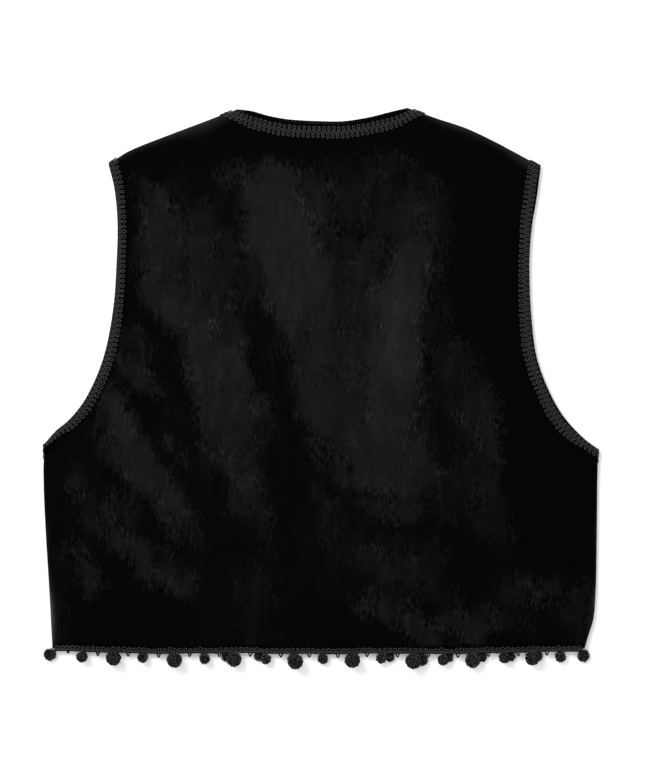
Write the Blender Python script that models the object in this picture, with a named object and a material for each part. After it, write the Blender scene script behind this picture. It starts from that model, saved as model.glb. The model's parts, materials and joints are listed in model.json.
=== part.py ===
# A velvet vest laid flat with its back up. The back lies over two fronts, scroll braid
# edges the neckline, armholes and front edges, and pompom trim hangs from the hem.
# Metres, +Z up. The neck points to +Y and the hem to -Y. Tables are in millimetres.
import math
from collections import namedtuple

import bmesh
import bpy
from mathutils import Matrix, Vector

MM = 0.001

# Cloth wall and the way the panels lie on each other
WALL = 1.6 * MM
SEAM_GAP = 0.3 * MM
FOLD_RADIUS = 2.85 * MM
FOLD_MIDDLE = 3.0 * MM
BRAID_LIFT = 0.25 * MM
OPEN_BAND = 18.5 * MM
OPEN_BLEND = 14.0 * MM
SETTLE_WIDTH = 25.0 * MM
FOLD_FADE = 26.0 * MM

# Scroll braid and its place beside an edge
BRAID_WIDTH = 11.0 * MM
BRAID_THICK = 1.1 * MM
BRAID_GAP = 0.3 * MM
NECK_MARGIN = 4.5 * MM
ARMHOLE_MARGIN = 0.3 * MM
BRAID_STEP = 9.0 * MM
BRAID_TURN = 16.0 * MM
FRONT_BRAID_START = 10.0 * MM

# Hem trim
TRIM_WIDTH = 5.8 * MM
TRIM_OVERHANG = 2.2 * MM
TRIM_END = 2.0 * MM
STEM_WIDTH = 2.4 * MM
STEM_LENGTH = 0.7 * MM
PICOT_WIDTH = 3.2 * MM
PICOT_DROP = 2.5 * MM
PICOT_TIP = 0.5 * MM
BALL_AROUND = 8
BALL_ALONG = 5
BALL_CORE = 0.9
BALL_LUMP = 0.05
LOCK_RISE = 0.17
LOCK_EVERY = 3
LOCKS_PER_BALL = 6
LOWEST_LOCK = -0.35
NEAREST_LOCK = 0.3
FLOOR_GAP = 0.3 * MM
BACK_SQUASH = 0.8
FRONT_SQUASH = 0.5
BALL_CLEARANCE = 0.7 * MM

Point = namedtuple("Point", "x y")
Crease = namedtuple("Crease", "x0 y0 x1 y1 width height")
Ball = namedtuple("Ball", "x y radius")

# Outline of the back, each edge listed upwards or from the tip to the neck
BACK_SIDE = {
    "left": [Point(-241.7, -233.8), Point(-245.3, -172.4), Point(-248.2, -125.0),
             Point(-249.9, -82.4), Point(-249.2, -50.0)],
    "right": [Point(236.3, -233.8), Point(239.6, -222.0), Point(244.4, -207.0),
              Point(246.6, -180.0), Point(247.4, -140.0), Point(248.2, -54.0)],
}
BACK_ARMHOLE = {
    "left": [Point(-249.2, -50.0), Point(-239.0, -38.2), Point(-227.3, -28.4),
             Point(-212.9, -10.4), Point(-196.7, 25.7), Point(-187.5, 70.0),
             Point(-184.1, 115.7), Point(-183.4, 150.0), Point(-186.2, 180.0),
             Point(-191.5, 201.8)],
    "right": [Point(248.2, -54.0), Point(236.0, -45.0), Point(220.1, -28.4),
              Point(208.4, -10.4), Point(194.0, 25.7), Point(188.6, 65.0),
              Point(187.0, 115.7), Point(189.3, 147.0), Point(193.4, 171.0),
              Point(197.0, 199.5)],
}
SHOULDER = {
    "left": [Point(-191.5, 201.8), Point(-172.4, 213.6), Point(-136.4, 228.2),
             Point(-100.4, 241.7), Point(-75.5, 251.0)],
    "right": [Point(197.0, 199.5), Point(186.0, 205.4), Point(158.9, 220.3),
              Point(130.0, 234.0), Point(101.3, 243.5), Point(77.0, 252.2)],
}
BACK_NECK = [Point(-75.5, 251.0), Point(-62.6, 249.4), Point(-48.2, 245.3),
             Point(-30.0, 242.0), Point(0.0, 240.3), Point(20.0, 240.3),
             Point(45.5, 244.4), Point(61.0, 248.4), Point(77.0, 252.2)]
BACK_HEM = [Point(-241.7, -233.8), Point(-180.0, -235.6), Point(-60.0, -236.0),
            Point(60.0, -236.4), Point(180.0, -235.4), Point(236.3, -233.8)]

# Outline of each front where it differs from the back
FRONT_SCOOP = 6.5
FRONT_EDGE = {
    "left": [Point(-1.8, -233.0), Point(-1.8, -100.0), Point(-1.8, 60.0),
             Point(-4.5, 104.0), Point(-17.0, 138.0), Point(-42.0, 186.0),
             Point(-64.0, 228.0), Point(-75.5, 251.0)],
    "right": [Point(1.8, -233.0), Point(1.8, -100.0), Point(1.8, 60.0),
              Point(4.5, 104.0), Point(17.0, 138.0), Point(42.5, 186.0),
              Point(65.0, 228.0), Point(77.0, 252.2)],
}
FRONT_HEM = {
    "left": [Point(-241.7, -233.8), Point(-200.0, -233.0), Point(-100.0, -233.4),
             Point(-1.8, -233.0)],
    "right": [Point(236.3, -233.8), Point(200.0, -233.0), Point(100.0, -233.4),
              Point(1.8, -233.0)],
}

# Soft folds that the back shows, from the left shoulder and armhole to the lower right
CREASES = [
    Crease(-160.0, 150.0, -112.0, 30.0, 24.0, 1.6),
    Crease(-112.0, 30.0, -58.0, -115.0, 26.0, 1.9),
    Crease(-62.0, 190.0, -20.0, 60.0, 26.0, 1.7),
    Crease(0.0, 40.0, 88.0, -88.0, 34.0, 2.2),
    Crease(64.0, 115.0, 68.0, -55.0, 18.0, 1.9),
    Crease(-192.0, -18.0, -106.0, -136.0, 17.0, 2.4),
    Crease(-206.0, -102.0, -116.0, -176.0, 15.0, 2.0),
    Crease(110.0, 40.0, 168.0, -118.0, 21.0, 1.8),
    Crease(40.0, -160.0, 112.0, -200.0, 20.0, 1.3),
    Crease(158.0, -182.0, 208.0, -205.0, 14.0, 1.2),
]

# Pompoms that hang from each trim: middle and radius, seen from above
BACK_BALLS = [
    Ball(-215.0, -241.7, 4.9), Ball(-186.6, -242.4, 6.6), Ball(-160.7, -242.6, 4.5),
    Ball(-131.9, -244.3, 6.8), Ball(-104.9, -243.5, 4.7), Ball(-78.6, -243.7, 6.8),
    Ball(-50.0, -243.8, 4.6), Ball(-23.3, -245.8, 6.8), Ball(1.3, -243.8, 4.6),
    Ball(27.7, -244.4, 6.8), Ball(53.7, -243.4, 4.6), Ball(82.4, -245.3, 7.1),
    Ball(109.2, -244.6, 4.8), Ball(135.7, -244.9, 6.7), Ball(164.1, -242.6, 5.0),
    Ball(189.4, -242.6, 6.6), Ball(214.8, -242.0, 4.8),
]
FRONT_BALLS = {
    "left": [Ball(-244.2, -240.2, 5.6), Ball(-214.6, -242.0, 4.1),
             Ball(-187.0, -244.4, 5.8), Ball(-160.2, -242.4, 4.1),
             Ball(-132.6, -244.6, 5.9), Ball(-105.4, -242.6, 4.2),
             Ball(-85.6, -242.2, 4.4), Ball(-56.6, -242.0, 4.1),
             Ball(-25.0, -244.8, 5.9)],
    "right": [Ball(27.0, -244.6, 5.8), Ball(61.6, -242.6, 4.3),
              Ball(90.0, -244.6, 5.7), Ball(114.8, -243.0, 4.0),
              Ball(144.4, -242.4, 4.4), Ball(170.4, -242.2, 4.1),
              Ball(194.8, -242.0, 4.3), Ball(235.6, -241.2, 5.6)],
}

# Finishes read from the cloth: colour, roughness
FINISHES = {
    "velvet": ((0.006, 0.006, 0.007, 1.0), 0.9),
    "braid": ((0.015, 0.015, 0.014, 1.0), 0.6),
    "pompom": ((0.010, 0.010, 0.010, 1.0), 0.95),
}


def ease(value):
    """0 below 0, 1 above 1, and a smooth step between."""
    value = min(max(value, 0.0), 1.0)
    return value * value * (3.0 - 2.0 * value)


class Edge:
    """A smooth line through the points of a table, measured along its length."""

    STEPS = 10

    def __init__(self, table):
        ends = [Vector((p.x, p.y)) * MM for p in table]
        before = ends[0] * 2 - ends[1]
        after = ends[-1] * 2 - ends[-2]
        ends = [before] + ends + [after]
        self.points = []
        for k in range(1, len(ends) - 2):
            p0, p1, p2, p3 = ends[k - 1:k + 3]
            for step in range(self.STEPS):
                t = step / self.STEPS
                self.points.append(self.between(p0, p1, p2, p3, t))
        self.points.append(ends[-2])
        self.lengths = [0.0]
        for a, b in zip(self.points, self.points[1:]):
            self.lengths.append(self.lengths[-1] + (b - a).length)
        self.length = self.lengths[-1]

    @staticmethod
    def between(p0, p1, p2, p3, t):
        """Catmull-Rom curve with spans weighted by the root of their length."""
        t01 = math.sqrt((p1 - p0).length)
        t12 = math.sqrt((p2 - p1).length)
        t23 = math.sqrt((p3 - p2).length)
        m1 = (p2 - p1) + ((p1 - p0) / t01 - (p2 - p0) / (t01 + t12)) * t12
        m2 = (p2 - p1) + ((p3 - p2) / t23 - (p3 - p1) / (t12 + t23)) * t12
        a = (p1 - p2) * 2 + m1 + m2
        b = (p2 - p1) * 3 - m1 * 2 - m2
        return a * t ** 3 + b * t ** 2 + m1 * t + p1

    def at(self, distance):
        """The point at a distance along the line."""
        distance = min(max(distance, 0.0), self.length)
        for k in range(len(self.points) - 1):
            if distance <= self.lengths[k + 1]:
                span = self.lengths[k + 1] - self.lengths[k]
                share = (distance - self.lengths[k]) / span
                return self.points[k].lerp(self.points[k + 1], share)
        return self.points[-1].copy()

    def heading(self, distance, reach=3.0 * MM):
        """Unit direction of the line at a distance along it."""
        ahead = self.at(distance + reach)
        behind = self.at(distance - reach)
        return (ahead - behind).normalized()

    def side_of(self, middle):
        """1 where a panel's middle lies to the left of the line, -1 to the right."""
        half = self.length / 2
        run = self.heading(half)
        left = Vector((-run.y, run.x))
        return 1.0 if left.dot(middle - self.at(half)) > 0.0 else -1.0

    def nearest(self, spot):
        """Distance from a spot to the line, and the nearest point and run of the line."""
        best = None
        for a, b in zip(self.points, self.points[1:]):
            run = b - a
            share = min(max((spot - a).dot(run) / run.length_squared, 0.0), 1.0)
            foot = a + run * share
            gap = (spot - foot).length
            if best is None or gap < best[0]:
                best = (gap, foot, run.normalized())
        return best


def scooped(table, scoop):
    """The back's armhole table cut deeper in the middle, as a front is."""
    last = len(table) - 1
    inward = -1.0 if table[0].x > 0.0 else 1.0
    moved = []
    for k, p in enumerate(table):
        share = math.sin(math.pi * k / last)
        moved.append(Point(p.x + inward * scoop * share, p.y - 0.45 * scoop * share))
    return moved


class Panel:
    """One cloth panel: its folded and open edges, and the height of its outer face."""

    def __init__(self, folded, opened, middle, up):
        self.folded = folded
        self.opened = opened
        self.middle = middle
        self.up = up

    def gaps(self, spot):
        """Distances to the nearest folded and open edge, and the way in from the fold."""
        found = [(edge.nearest(spot), edge.side_of(self.middle)) for edge in self.folded]
        (fold_gap, _, run), side = min(found, key=lambda pair: pair[0][0])
        open_gap = min(edge.nearest(spot)[0] for edge in self.opened)
        return fold_gap, open_gap, Vector((-run.y, run.x)) * side

    def face(self, spot):
        """Outer face above a spot, and the direction out of the cloth there."""
        fold_gap, open_gap, inward = self.gaps(spot)
        share = ease((open_gap - OPEN_BAND) / OPEN_BLEND)
        lean = math.asin(max(0.0, (FOLD_RADIUS - fold_gap) / FOLD_RADIUS))
        middle = FOLD_MIDDLE + BRAID_LIFT * (1.0 - share)
        rise = SEAM_GAP / 2 + WALL * math.cos(share * math.pi / 2) + FOLD_RADIUS * share
        rise -= share * FOLD_RADIUS * (1.0 - math.cos(lean))
        if self.up > 0:
            rise = self.settled(spot, rise, middle, fold_gap, open_gap)
        tilt = share * lean
        out = Vector((-inward.x * math.sin(tilt), -inward.y * math.sin(tilt),
                      self.up * math.cos(tilt)))
        return Vector((spot.x, spot.y, middle + self.up * rise)), out

    def settled(self, spot, rise, middle, fold_gap, open_gap):
        """The back sinks onto the fronts away from its folds, and keeps its creases."""
        resting = FOLD_MIDDLE + BRAID_LIFT + SEAM_GAP / 2 + WALL - middle
        near = math.exp(-(max(0.0, fold_gap - FOLD_RADIUS) / SETTLE_WIDTH) ** 2)
        rise = resting + (rise - resting) * near
        inside = ease((open_gap - OPEN_BAND) / FOLD_FADE) * ease(fold_gap / FOLD_FADE)
        return rise + inside * crease_height(spot)


def crease_height(spot):
    """Height that the soft folds of the back add at a spot."""
    height = 0.0
    for c in CREASES:
        a = Vector((c.x0, c.y0)) * MM
        run = Vector((c.x1, c.y1)) * MM - a
        share = min(max((spot - a).dot(run) / run.length_squared, 0.0), 1.0)
        away = (spot - a - run * share).length / (c.width * MM)
        height += c.height * MM * math.exp(-away * away)
    return height


def steps(length, first, last, count):
    """Distances along an edge: set ones at both ends and even ones between."""
    start = first[-1]
    stop = length - last[-1]
    even = [start + (stop - start) * k / count for k in range(1, count)]
    return list(first) + even + [length - d for d in reversed(last)]


def join_steps(parts):
    """Points of edges that follow each other, without the doubled joints."""
    points = []
    for edge, distances in parts:
        skip = 1 if points else 0
        points.extend(edge.at(d) for d in distances[skip:])
    return points


def patch(bottom, top, left, right):
    """Points of a four-sided panel, blended from the points of its edges."""
    def shares(line):
        runs = [0.0]
        for a, b in zip(line, line[1:]):
            runs.append(runs[-1] + (b - a).length)
        return [run / runs[-1] for run in runs]

    across, up = shares(bottom), shares(left)
    rows = []
    for j, v in enumerate(up):
        row = []
        for i, u in enumerate(across):
            spot = bottom[i] * (1 - v) + top[i] * v + left[j] * (1 - u) + right[j] * u
            spot -= bottom[0] * ((1 - u) * (1 - v)) + bottom[-1] * (u * (1 - v))
            spot -= top[0] * ((1 - u) * v) + top[-1] * (u * v)
            row.append(spot)
        rows.append(row)
    return rows


def set_insets(rows, starts, ends):
    """Move the first and last points of each row to true distances from its edges."""
    for row in rows:
        for line, insets in ((row, starts), (row[::-1], ends)):
            reach = line[len(insets) - 1] - line[0]
            way = reach.normalized()
            for spot, inset in zip(line[:len(insets)], insets):
                spot[:] = line[0] + way * inset if inset > 0.0 else spot


def fit_insets(rows, left, right, low, high):
    """Put the bands along all four edges of a panel at their true distances."""
    set_insets(rows, left, right)
    columns = [list(column) for column in zip(*rows)]
    set_insets(columns, low, high)


def material(name):
    """A plain finish, made once."""
    found = bpy.data.materials.get(name)
    if found:
        return found
    colour, roughness = FINISHES[name]
    made = bpy.data.materials.new(name)
    made.use_nodes = True
    shader = made.node_tree.nodes["Principled BSDF"]
    shader.inputs["Base Color"].default_value = colour
    shader.inputs["Roughness"].default_value = roughness
    shader.inputs["Metallic"].default_value = 0.0
    return made


def finish(bm, name, finish_name, collection):
    """Turn a bmesh into a named object with its material."""
    bmesh.ops.recalc_face_normals(bm, faces=bm.faces[:])
    mesh = bpy.data.meshes.new(name)
    bm.to_mesh(mesh)
    bm.free()
    mesh.materials.append(material(finish_name))
    mesh.shade_smooth()
    piece = bpy.data.objects.new(name, mesh)
    collection.objects.link(piece)
    return piece


def wall(rows):
    """A closed wall from rows of (inner point, outer point), as one extruded grid."""
    bm = bmesh.new()
    down, along = len(rows) - 1, len(rows[0]) - 1
    bmesh.ops.create_grid(bm, x_segments=along, y_segments=down, size=0.5)
    lifted = bmesh.ops.extrude_face_region(bm, geom=bm.faces[:])
    outer = {g for g in lifted["geom"] if isinstance(g, bmesh.types.BMVert)}
    for vert in bm.verts:
        i = round((vert.co.x + 0.5) * along)
        j = round((vert.co.y + 0.5) * down)
        vert.co = rows[j][i][1 if vert in outer else 0]
    return bm


def cloth(panel, spots):
    """A panel's wall from its plan points."""
    rows = []
    for line in spots:
        faces = [panel.face(spot) for spot in line]
        rows.append([(point - out * WALL, point) for point, out in faces])
    return wall(rows)


FOLD_INSETS = [FOLD_RADIUS * (1.0 - math.sin(math.radians(a))) for a in (90, 60, 30, 0)]
EDGE_INSETS = FOLD_INSETS + [OPEN_BAND, OPEN_BAND + OPEN_BLEND]
OPEN_INSETS = [0.0, OPEN_BAND, OPEN_BAND + OPEN_BLEND]


def side_points(side, armhole, side_steps, armhole_steps):
    """Points up a side seam and its armhole."""
    return join_steps([
        (side, steps(side.length, OPEN_INSETS, OPEN_INSETS, side_steps)),
        (armhole, steps(armhole.length, OPEN_INSETS, EDGE_INSETS, armhole_steps)),
    ])


def make_back(edges, collection):
    """The back: one panel, folded at its sides and shoulders, open elsewhere."""
    left, right = edges["left"], edges["right"]
    neck, hem = edges["neck"], edges["hem"]
    panel = Panel([left["side"], right["side"], left["shoulder"], right["shoulder"]],
                  [left["armhole"], right["armhole"], neck, hem], Vector((0.0, 0.0)), 1)
    shoulder_steps = 6
    neck_steps = 11
    up_steps = (7, 14)
    neck_in = [0.0, OPEN_BAND]
    left_run = steps(left["shoulder"].length, EDGE_INSETS, neck_in, shoulder_steps)
    right_run = steps(right["shoulder"].length, EDGE_INSETS, neck_in, shoulder_steps)
    right_line = join_steps([(right["shoulder"], right_run)])
    top = join_steps([(left["shoulder"], left_run),
                      (neck, steps(neck.length, neck_in, neck_in, neck_steps))])
    top += list(reversed(right_line))[1:]
    even = len(top) - 1 - 2 * (len(EDGE_INSETS) - 1)
    bottom = join_steps([(hem, steps(hem.length, EDGE_INSETS, EDGE_INSETS, even))])
    spots = patch(bottom, top, side_points(left["side"], left["armhole"], *up_steps),
                  side_points(right["side"], right["armhole"], *up_steps))
    fit_insets(spots, EDGE_INSETS, EDGE_INSETS, OPEN_INSETS, EDGE_INSETS)
    finish(cloth(panel, spots), "back", "velvet", collection)
    return panel


def make_front(hand, edges, collection):
    """One front: folded at the side and shoulder, open at armhole, front edge and hem."""
    own = edges[hand]
    panel = Panel([own["side"], own["shoulder"]],
                  [own["front_armhole"], own["front_edge"], own["front_hem"]],
                  own["side"].at(own["side"].length / 2) * 0.5, -1)
    even = 8
    top = join_steps([(own["shoulder"],
                       steps(own["shoulder"].length, EDGE_INSETS, OPEN_INSETS, even))])
    bottom = join_steps([(own["front_hem"],
                          steps(own["front_hem"].length, EDGE_INSETS, OPEN_INSETS, even))])
    outside = side_points(own["side"], own["front_armhole"], 4, 9)
    edge = own["front_edge"]
    middle = len(outside) - 1 - (len(OPEN_INSETS) - 1) - (len(EDGE_INSETS) - 1)
    inside = join_steps([(edge, steps(edge.length, OPEN_INSETS, EDGE_INSETS, middle))])
    spots = patch(bottom, top, outside, inside)
    fit_insets(spots, EDGE_INSETS, OPEN_INSETS, OPEN_INSETS, EDGE_INSETS)
    finish(cloth(panel, spots), "front_" + hand, "velvet", collection)
    return panel


def across_at(edge, distance, inward, ends, width_share):
    """A braid point: square to the edge, but along the seam where the braid ends."""
    square = edge.at(distance) + inward(distance) * width_share
    for end_at, seam, spread in ends:
        share = 1.0 - ease(abs(distance - end_at) / BRAID_TURN)
        if share > 0.0:
            along = seam(width_share * spread) + edge.at(distance) - edge.at(end_at)
            square = square.lerp(along, share)
    return square


def make_braid(name, panel, edge, margin, collection, start=None, finish_end=None, cut=0.0):
    """Scroll braid along an edge: three points across, wrapped down at its seam ends."""
    side = edge.side_of(panel.middle)

    def inward(distance):
        run = edge.heading(distance)
        return Vector((-run.y, run.x)) * side

    ends = []
    if start:
        ends.append((0.0, start[0], start[1]))
    if finish_end:
        ends.append((edge.length, finish_end[0], finish_end[1]))
    count = max(4, round((edge.length - cut) / BRAID_STEP))
    distances = [cut + (edge.length - cut) * k / count for k in range(count + 1)]
    insets = [margin, margin + BRAID_WIDTH / 2, margin + BRAID_WIDTH]
    near, far = BRAID_GAP, BRAID_GAP + BRAID_THICK
    rows = []
    for distance in distances:
        row = []
        for inset in insets:
            spot = across_at(edge, distance, inward, ends, inset)
            point, out = panel.face(spot)
            row.append((point + out * near, point + out * far))
        rows.append(row)
    if start:
        rows[0:1] = wrapped(panel, start, insets, near, far)
    if finish_end:
        rows[-1:] = list(reversed(wrapped(panel, finish_end, insets, near, far)))
    finish(wall(rows), name, "braid", collection)


def wrapped(panel, end, insets, near, far):
    """Two rows that turn a braid's end over the edge of the cloth."""
    seam, spread = end
    low, corner = [], []
    for inset in insets:
        spot = seam(inset * spread)
        point, out = panel.face(spot)
        inward = panel.gaps(spot)[2]
        away = Vector((-inward.x, -inward.y, 0.0))
        corner.append((point + (out + away) * near, point + (out + away) * far))
        drop = point - Vector((0.0, 0.0, panel.up * WALL))
        low.append((drop + away * near, drop + away * far))
    return [low, corner]


def ball_heights(balls, squash, below=(), below_squash=1.0):
    """Height of each pompom's middle: on the floor, or on the pompoms under it."""
    heights = []
    for ball in balls:
        level = FLOOR_GAP + ball.radius * MM * squash
        for low, low_level in below:
            flat = Vector((ball.x - low.x, ball.y - low.y)).length * MM
            reach = (ball.radius + low.radius) * MM + BALL_CLEARANCE
            tall = (ball.radius * squash + low.radius * below_squash) * MM + BALL_CLEARANCE
            if flat < reach:
                needed = low_level + tall * math.sqrt(1.0 - (flat / reach) ** 2)
                level = max(level, needed)
        heights.append(level)
    return heights


def add_ball(bm, stem_face, middle, radius, squash):
    """A lumpy pompom with pointed locks, joined to a stem's end face."""
    lean = stem_face.calc_center_median() - middle
    turn = lean.to_track_quat("Z", "Y").to_matrix().to_4x4()
    flatten = Matrix.Diagonal((1.0, 1.0, squash, 1.0))
    place = Matrix.Translation(middle) @ flatten @ turn
    made = bmesh.ops.create_uvsphere(bm, u_segments=BALL_AROUND, v_segments=BALL_ALONG,
                                     radius=radius * BALL_CORE, matrix=place)
    verts = made["verts"]
    toward = lean.normalized()
    pole = max(verts, key=lambda v: (v.co - middle).dot(toward))
    faces = list({f for v in verts for f in v.link_faces if pole not in f.verts})
    faces = [f for f in faces if len(f.verts) == 4]
    faces.sort(key=lambda f: tuple(round(c, 6) for c in f.calc_center_median()))
    free = [f for f in faces if f.normal.z > LOWEST_LOCK and f.normal.y < NEAREST_LOCK]
    tufts = free[::LOCK_EVERY][:LOCKS_PER_BALL]
    rim = [e for f in pole.link_faces for e in f.edges if pole not in e.verts]
    for k, vert in enumerate(v for v in verts if v is not pole):
        swell = 1.0 + BALL_LUMP * (1 if k % 2 else -1)
        vert.co = middle + (vert.co - middle) * swell
    bmesh.ops.poke(bm, faces=tufts, offset=radius * LOCK_RISE)
    bmesh.ops.delete(bm, geom=[pole], context="VERTS")
    loop = list(stem_face.edges)
    bmesh.ops.delete(bm, geom=[stem_face], context="FACES_ONLY")
    bmesh.ops.bridge_loops(bm, edges=loop + rim)


def make_trim(name, panel, edge, balls, squash, heights, collection, reverse=False):
    """Hem braid on a panel, with stems, pompoms and small picots along its lower edge."""
    level = panel.face(edge.at(edge.length / 2))[0].z
    near = level + panel.up * BRAID_GAP
    far = near + panel.up * BRAID_THICK
    table = sorted(zip(balls, heights), key=lambda pair: pair[0].x, reverse=reverse)
    marks = []
    for ball, height in table:
        at = min((edge.length * k / 900 for k in range(901)),
                 key=lambda d: abs(edge.at(d).x - ball.x * MM))
        at = min(max(at, TRIM_END + STEM_WIDTH), edge.length - TRIM_END - STEM_WIDTH)
        marks.append((at, STEM_WIDTH, ball, height))
    picots = [((a[0] + b[0]) / 2, PICOT_WIDTH, None, None) for a, b in zip(marks, marks[1:])]
    marks = sorted(marks + picots, key=lambda mark: mark[0])
    distances = [TRIM_END]
    for at, width, _, _ in marks:
        distances += [at - width / 2, at + width / 2]
    distances.append(edge.length - TRIM_END)
    rows = []
    for distance in distances:
        spot = edge.at(distance)
        run = edge.heading(distance)
        down = Vector((run.y, -run.x)) if run.x > 0 else Vector((-run.y, run.x))
        low = spot + down * TRIM_OVERHANG
        high = spot - down * (TRIM_WIDTH - TRIM_OVERHANG)
        rows.append([(Vector((p.x, p.y, near)), Vector((p.x, p.y, far))) for p in (low, high)])
    bm = wall(rows)
    bm.normal_update()
    lows = [row[0][0].to_2d() for row in rows]
    for mark, (at, width, ball, height) in enumerate(marks):
        first = 1 + 2 * mark
        span = (lows[first], lows[first + 1])
        face = lower_face(bm, span)
        stem = bmesh.ops.extrude_discrete_faces(bm, faces=[face])["faces"][0]
        if ball is None:
            shape_picot(stem, span)
        else:
            middle = Vector((ball.x * MM, ball.y * MM, height))
            toward = (middle - stem.calc_center_median()).normalized()
            bmesh.ops.translate(bm, vec=toward * STEM_LENGTH, verts=stem.verts[:])
            add_ball(bm, stem, middle, ball.radius * MM, squash)
    finish(bm, name, "pompom", collection)


def lower_face(bm, span):
    """The strip's lower side face that spans two plan points."""
    middle = (span[0] + span[1]) / 2
    upright = [f for f in bm.faces if len(f.verts) == 4 and abs(f.normal.z) < 0.5]
    return min(upright, key=lambda f: (f.calc_center_median().to_2d() - middle).length)


def shape_picot(face, span):
    """Draw a side face of the strip out to a small point."""
    run = (span[1] - span[0]).normalized()
    down = Vector((run.y, -run.x))
    if down.y > 0:
        down = -down
    middle = (span[0] + span[1]) / 2
    for vert in face.verts:
        along = (vert.co.to_2d() - middle).dot(run)
        tip = middle + run * math.copysign(PICOT_TIP / 2, along) + down * PICOT_DROP
        vert.co = Vector((tip.x, tip.y, vert.co.z))


def make_edges():
    """Every outline edge, as a smooth line."""
    edges = {"neck": Edge(BACK_NECK), "hem": Edge(BACK_HEM)}
    for hand in ("left", "right"):
        edges[hand] = {
            "side": Edge(BACK_SIDE[hand]),
            "armhole": Edge(BACK_ARMHOLE[hand]),
            "shoulder": Edge(SHOULDER[hand]),
            "front_armhole": Edge(scooped(BACK_ARMHOLE[hand], FRONT_SCOOP)),
            "front_edge": Edge(FRONT_EDGE[hand]),
            "front_hem": Edge(FRONT_HEM[hand]),
        }
    return edges


def seam_ends(own):
    """Ways along the seams from each braid's end: underarm, shoulder tip and neck."""
    side, shoulder = own["side"], own["shoulder"]
    return {
        "underarm": (lambda d: side.at(side.length - d), 1.4),
        "tip": (lambda d: shoulder.at(d), 1.0),
        "neck": (lambda d: shoulder.at(shoulder.length - d), 1.1),
    }


def clear_scene():
    """Start from an empty scene."""
    for old in list(bpy.data.objects):
        bpy.data.objects.remove(old)


def main():
    clear_scene()
    vest = bpy.data.collections.new("vest")
    bpy.context.scene.collection.children.link(vest)
    edges = make_edges()
    back = make_back(edges, vest)
    ends = {hand: seam_ends(edges[hand]) for hand in ("left", "right")}
    make_braid("braid_neck", back, edges["neck"], NECK_MARGIN, vest,
               start=ends["left"]["neck"], finish_end=ends["right"]["neck"])
    fronts = {}
    low_balls = []
    for hand in ("left", "right"):
        own, way = edges[hand], ends[hand]
        front = make_front(hand, edges, vest)
        fronts[hand] = front
        make_braid("braid_armhole_back_" + hand, back, own["armhole"], ARMHOLE_MARGIN, vest,
                   start=way["underarm"], finish_end=way["tip"])
        make_braid("braid_armhole_front_" + hand, front, own["front_armhole"],
                   ARMHOLE_MARGIN, vest, start=way["underarm"], finish_end=way["tip"])
        make_braid("braid_front_" + hand, front, own["front_edge"], NECK_MARGIN, vest,
                   finish_end=way["neck"], cut=FRONT_BRAID_START)
        heights = ball_heights(FRONT_BALLS[hand], FRONT_SQUASH)
        make_trim("trim_front_" + hand, front, own["front_hem"], FRONT_BALLS[hand],
                  FRONT_SQUASH, heights, vest, reverse=hand == "right")
        low_balls += list(zip(FRONT_BALLS[hand], heights))
    heights = ball_heights(BACK_BALLS, BACK_SQUASH, low_balls, FRONT_SQUASH)
    make_trim("trim_back", back, edges["hem"], BACK_BALLS, BACK_SQUASH, heights, vest)


main()
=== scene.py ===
# %% [markdown]
# This lesson dresses a black velvet vest for folk dress. It lies flat on a pale surface with
# its back up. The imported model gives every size, so the first step loads it and measures its
# box. All later pieces are drawn on the same lines as the solids that they stand for.

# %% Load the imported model
import json
import math
from collections import namedtuple

import bmesh
import bpy
import numpy as np
from mathutils import Euler, Matrix, Vector, noise

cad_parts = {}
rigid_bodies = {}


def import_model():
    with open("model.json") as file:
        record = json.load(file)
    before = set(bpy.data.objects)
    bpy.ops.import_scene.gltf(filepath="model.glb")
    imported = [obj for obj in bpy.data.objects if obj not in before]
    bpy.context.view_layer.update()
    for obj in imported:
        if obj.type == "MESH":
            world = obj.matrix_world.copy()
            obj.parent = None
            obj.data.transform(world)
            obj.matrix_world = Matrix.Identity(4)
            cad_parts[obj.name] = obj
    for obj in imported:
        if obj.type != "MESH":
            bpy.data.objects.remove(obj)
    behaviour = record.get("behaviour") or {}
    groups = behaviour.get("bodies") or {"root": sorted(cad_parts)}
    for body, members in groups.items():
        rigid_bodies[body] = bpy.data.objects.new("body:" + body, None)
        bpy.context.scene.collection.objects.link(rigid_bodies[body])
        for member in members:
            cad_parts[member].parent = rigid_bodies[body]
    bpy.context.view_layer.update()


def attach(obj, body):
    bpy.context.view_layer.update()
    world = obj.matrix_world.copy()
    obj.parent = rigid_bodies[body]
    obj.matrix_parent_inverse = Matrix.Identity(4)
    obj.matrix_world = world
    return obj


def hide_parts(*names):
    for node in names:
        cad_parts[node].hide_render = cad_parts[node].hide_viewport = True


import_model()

MM = 0.001

# %% [markdown]
# The garment is seen straight from above. A long lens three metres up keeps its edges free of
# perspective, as on a cut-out made for a shop. The long side of the view spans 698.4 mm.

# %% Camera
CAMERA_HEIGHT = 3.0
VIEW_LENGTH = 0.6984
VIEW_CENTRE = (0.9 * MM, 0.45 * MM)
SENSOR = 36.0
lens = bpy.data.cameras.new("camera")
lens.sensor_width = SENSOR
lens.sensor_height = SENSOR
lens.lens = SENSOR * CAMERA_HEIGHT / VIEW_LENGTH
camera = bpy.data.objects.new("camera", lens)
camera.location = (*VIEW_CENTRE, CAMERA_HEIGHT)
bpy.context.scene.collection.objects.link(camera)
bpy.context.scene.camera = camera
print("lens", round(lens.lens, 1), "mm")

# %% [markdown]
# Black velvet needs bright, even light, or its nap does not show. A white world lights it from
# everywhere, and one broad soft lamp at the upper left gives the trims their small shadows.
# The floor is pale enough to come out almost white.

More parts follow.
